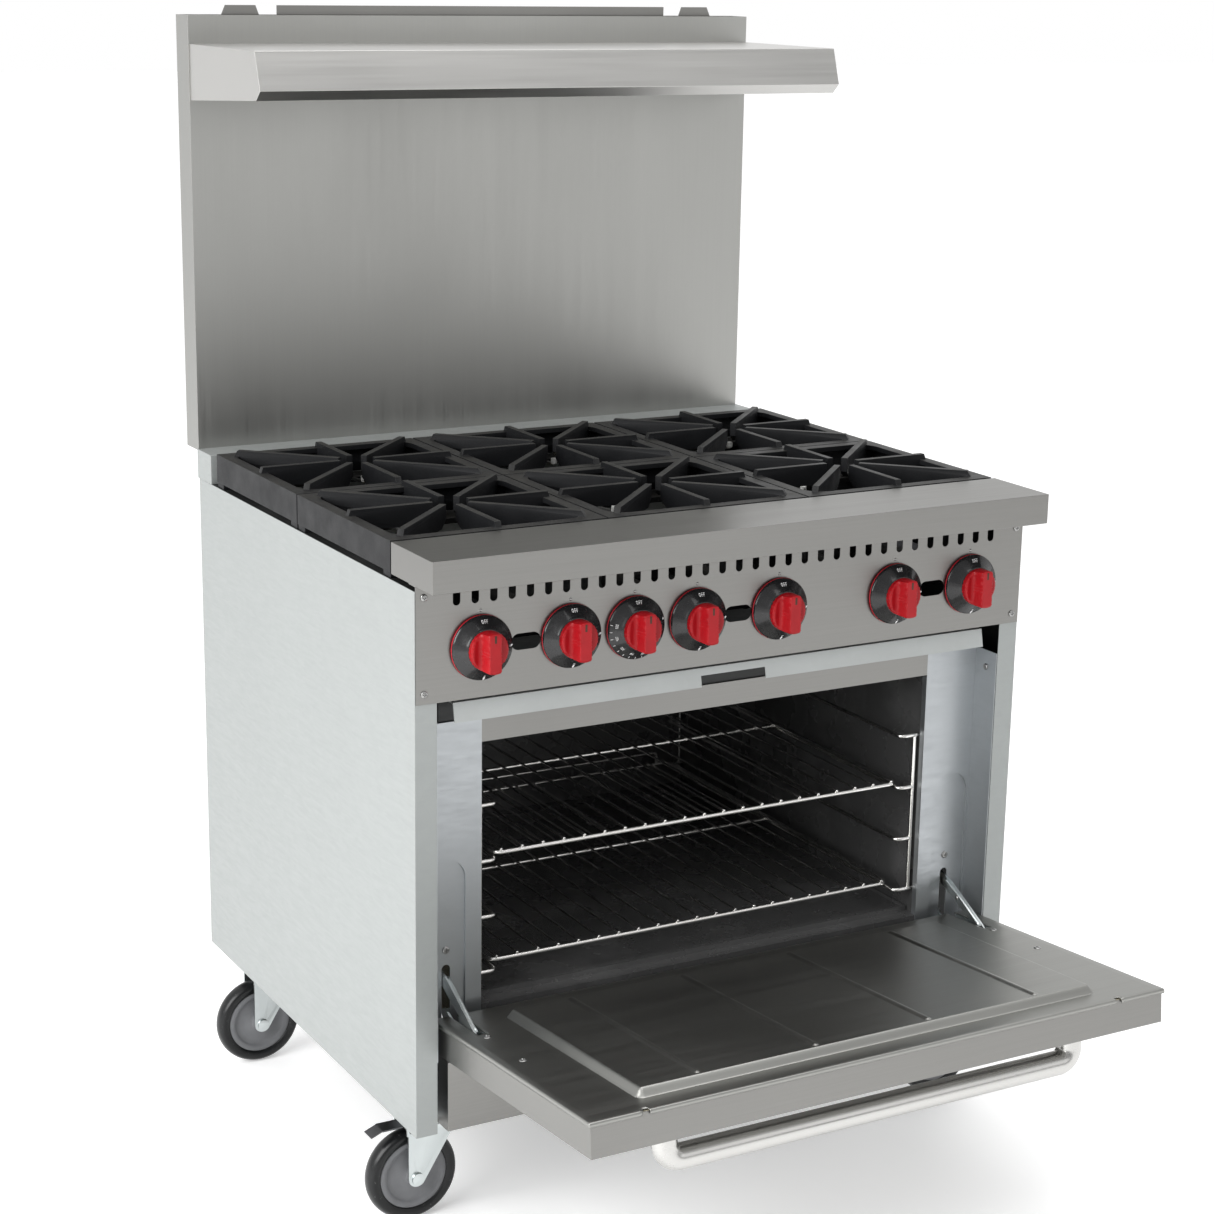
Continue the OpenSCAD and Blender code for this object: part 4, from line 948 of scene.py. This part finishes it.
def rack(node):
    """A frame loop, a middle bar, a raised back stop, and grid wires that end just past the front bar."""
    low, high = corner(node)
    gx = high[0] - WIRE_R
    z = low[2] + WIRE_R
    y0, y1 = low[1] + WIRE_R, high[1] - WIRE_R
    top = high[2] - WIRE_R
    loop = [(-gx, y0, z), (gx, y0, z), (gx, y1, z), (-gx, y1, z)]
    shapes = [tube(fillet(loop, 14 * MM, closed=True), WIRE_R, 12, True)]
    stop_x = gx - 24 * MM
    stop = [(-stop_x, y1, z), (-stop_x, y1, top), (stop_x, y1, top), (stop_x, y1, z)]
    shapes.append(tube(fillet(stop, 7 * MM), WIRE_R, 12))
    shapes.append(tube(np.linspace((-gx, (y0 + y1) / 2, z), (gx, (y0 + y1) / 2, z), 4), WIRE_R, 12))
    lift = WIRE_R + GRID_R - 0.7 * MM
    for x in np.linspace(-gx + 10 * MM, gx - 10 * MM, GRID_COUNT):
        ends = np.array([-2.4, -2.2, -1.4, 20]) * MM
        radii = np.array([0.6, 1.5, 2.0, 2.0]) * MM
        path = [(x, y0 + e, z + lift) for e in ends] + [(x, y1 - e, z + lift) for e in ends[::-1]]
        shapes.append(tube(path, np.concatenate([radii, radii[::-1]]), 10))
    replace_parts(piece(f"{node}_wires", join(shapes), node, CHROME, 60), node)


for node in ("rack_upper", "rack_lower"):
    rack(node)


def rack_guides():
    """Each rung runs out from the wall, along the oven and back, and uprights join the rungs."""
    low, high = corner("rack_guides")
    wall = high[0] - 7 * MM
    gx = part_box("rack_upper")[1].x - WIRE_R
    y0, y1 = low[1] + WIRE_R, high[1] - WIRE_R
    levels = np.linspace(low[2] + WIRE_R, high[2] - WIRE_R, 4)
    shapes = []
    for side in (-1, 1):
        for z in levels:
            corners = [(side * wall, y0, z), (side * gx, y0, z), (side * gx, y1, z), (side * wall, y1, z)]
            shapes.append(tube(fillet(corners, 9 * MM), WIRE_R, 12))
        for y in (y0, y1):
            ends = ((high[0], levels[0]), (wall, levels[0]), (wall, levels[-1]), (high[0], levels[-1]))
            corners = [(side * x, y, z) for x, z in ends]
            shapes.append(tube(fillet(corners, 4 * MM), WIRE_R, 12))
    wires = piece("rack_guide_wires", join(shapes), "range_body", CHROME, 60)
    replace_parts(wires, "rack_guides")


rack_guides()


# ---------------------------------------------------------------- wheels

def wheel(node):
    """Tyre, hub disc and axle boss turned about the axle: profiles of (radius, width)."""
    low, high = corner(node)
    centre = (low + high) / 2
    r = (high[2] - low[2]) / 2
    half = (high[1] - low[1]) / 2
    at = (centre, (1, 0, 0), (0, 0, 1), (0, -1, 0))
    crown = [(r - 0.30 * half * (1 - math.cos(t)) * 1.6, (half - 3 * MM) * math.sin(t))
             for t in np.linspace(-math.pi / 2 * 0.96, math.pi / 2 * 0.96, 19)]
    tread_in = r - 17 * MM
    tyre = [(tread_in, -half + 7 * MM), (tread_in + 2 * MM, -half + 5 * MM)] + crown
    tyre += [(tread_in + 2 * MM, half - 5 * MM), (tread_in, half - 7 * MM), (tread_in, -half + 7 * MM)]
    thing = piece(f"{node}_tyre", place(lathe(tyre, 96), *at), node, TYRE, 45)
    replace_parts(thing, node)
    edge = tread_in + 0.4 * MM
    disc = [(5.05, 16), (11, 16), (11.6, 15.4), (12.5, 11.2), (15, 9.4), (30, 8.4), (36, 8.2), (38, 9.6),
            (40, 11.2), (edge / MM - 2.2, 11.2), (edge / MM, 9.6)]
    disc = np.array(disc) * MM
    disc[:, 1] *= half / (16 * MM)
    profile = np.vstack([disc, disc[::-1] * [1, -1], disc[:1]])
    piece(f"{node}_hub", place(lathe(profile, 72), *at), node, HUB, 40)


for node in [n for n in NODES if n.startswith("wheel_")]:
    wheel(node)


# ---------------------------------------------------------------- small things on the deck and panel

def pilots():
    """Each pilot: a thin bent tube with a pale ceramic tip."""
    tubes, tips = [], []
    for low, high in islands("pilots"):
        x = (low[0] + high[0]) / 2
        y0, y1 = high[1] - 4 * MM, low[1] + 4.5 * MM
        z0, z1 = low[2], high[2]
        corners = [(x, y0, z0), (x, y0, z0 + 5 * MM), (x, y1, z0 + 12 * MM), (x, y1, z1 - 6 * MM)]
        tubes.append(tube(fillet(corners, 6 * MM), 2.5 * MM, 12))
        tip = [(0, 0), (0.8, 0), (1.1, -0.4), (1.2, -2), (1.2, -8), (0.9, -9), (0, -9)]
        shape = lathe(np.array(tip) * [3.75, 1] * MM, 20)
        tips.append(place(shape, (x, y1, z1), (1, 0, 0), (0, 1, 0), (0, 0, 1)))
    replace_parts(piece("pilot_tubes", join(tubes), "range_body", SCREW, 50), "pilots")
    piece("pilot_tips", join(tips), "range_body", CERAMIC, 40)


pilots()


def knob_dots():
    """A small pressed pin above each knob."""
    dome = lathe(np.array([(0, 1.1), (1.0, 1.0), (1.7, 0.6), (2.0, 0.0), (2.0, -0.6), (0, -0.6)]) * MM, 20)
    shapes = []
    for node in NODES:
        if node.startswith("knob_"):
            low, high = corner(node)
            at = ((low[0] + high[0]) / 2, FRONT_Y, LEVEL - 32 * MM)
            shapes.append(place(dome, at, (1, 0, 0), (0, 0, 1), (0, -1, 0)))
    piece("knob_pins", join(shapes), "range_body", SCREW, 50)


knob_dots()


# ---------------------------------------------------------------- studio

def studio_floor():
    """A broad pale floor, a net whose height is zero."""
    side = np.linspace(-30, 30, 9)
    x, y = np.meshgrid(side, side, indexing="ij")
    points, faces = grid(np.stack([x, y, 0 * x], -1))
    mesh = bpy.data.meshes.new("studio_floor")
    mesh.from_pydata(points.tolist(), [], faces.tolist())
    floor = bpy.data.objects.new("studio_floor", mesh)
    bpy.context.scene.collection.objects.link(floor)
    finish = Finish("pale floor", (0.86, 0.86, 0.86), 0.0, 0.6)
    finish.rough(finish.span(finish.noise(3, detail=2), 0.3, 0.7, 0.55, 0.65))
    finish.set("Emission Color", (1, 1, 1, 1))
    finish.set("Emission Strength", 0.34)
    mesh.materials.append(finish.material)


def soft_light(name, place_at, target, size, power, colour=(1, 1, 1)):
    """A square soft box that faces a point."""
    light = bpy.data.lights.new(name, "AREA")
    light.shape = "RECTANGLE"
    light.size, light.size_y = size
    light.energy = power
    light.color = colour
    lamp = bpy.data.objects.new(name, light)
    lamp.location = place_at
    lamp.rotation_euler = (Vector(target) - Vector(place_at)).to_track_quat("-Z", "Y").to_euler()
    bpy.context.scene.collection.objects.link(lamp)


def studio():
    studio_floor()
    world = bpy.data.worlds.new("studio")
    bpy.context.scene.world = world
    world.use_nodes = True
    tree = world.node_tree
    back = tree.nodes["Background"]
    back.inputs["Color"].default_value = (1.0, 1.0, 1.0, 1)
    facing = tree.nodes.new("ShaderNodeNewGeometry")
    parts = tree.nodes.new("ShaderNodeSeparateXYZ")
    tree.links.new(facing.outputs["Position"], parts.inputs["Vector"])
    dim = tree.nodes.new("ShaderNodeMapRange")
    for key, number in (("From Min", -0.9), ("From Max", 0.1), ("To Min", 0.42), ("To Max", 1.0)):
        dim.inputs[key].default_value = number
    tree.links.new(parts.outputs["Y"], dim.inputs["Value"])
    tree.links.new(dim.outputs["Result"], back.inputs["Strength"])
    soft_light("left soft box", (-3.6, -1.0, 2.4), (0, 0.1, 0.8), (3.0, 2.6), 172)
    soft_light("top soft box", (0.4, -0.6, 4.2), (0, 0, 0.8), (3.4, 3.0), 70)
    soft_light("front fill", (2.2, -4.2, 1.9), (0, 0, 0.7), (2.4, 2.0), 12)


def camera():
    """A long lens at the left front, a little above the cooktop: azimuth 29.27, 14.6 down, tilted a touch."""
    azimuth, pitch, roll = (math.radians(a) for a in (29.27, 14.60, -0.93))
    level = math.cos(pitch)
    ahead = Vector((math.sin(azimuth) * level, math.cos(azimuth) * level, -math.sin(pitch)))
    right = Vector((math.cos(azimuth), -math.sin(azimuth), 0))
    down = ahead.cross(right)
    across = right * math.cos(roll) + down * math.sin(roll)
    lower = down * math.cos(roll) - right * math.sin(roll)
    lens = bpy.data.cameras.new("camera")
    lens.sensor_width = 36
    lens.lens = 74.31
    lens.clip_start, lens.clip_end = 0.05, 200
    eye = bpy.data.objects.new("camera", lens)
    turn = Matrix((across, -lower, -ahead)).transposed().to_4x4()
    eye.matrix_world = Matrix.Translation((-1.674, FRONT_Y + SHEET - 2.643, 1.616)) @ turn
    bpy.context.scene.collection.objects.link(eye)
    bpy.context.scene.camera = eye


studio()
camera()
bpy.context.scene.view_settings.view_transform = "Standard"
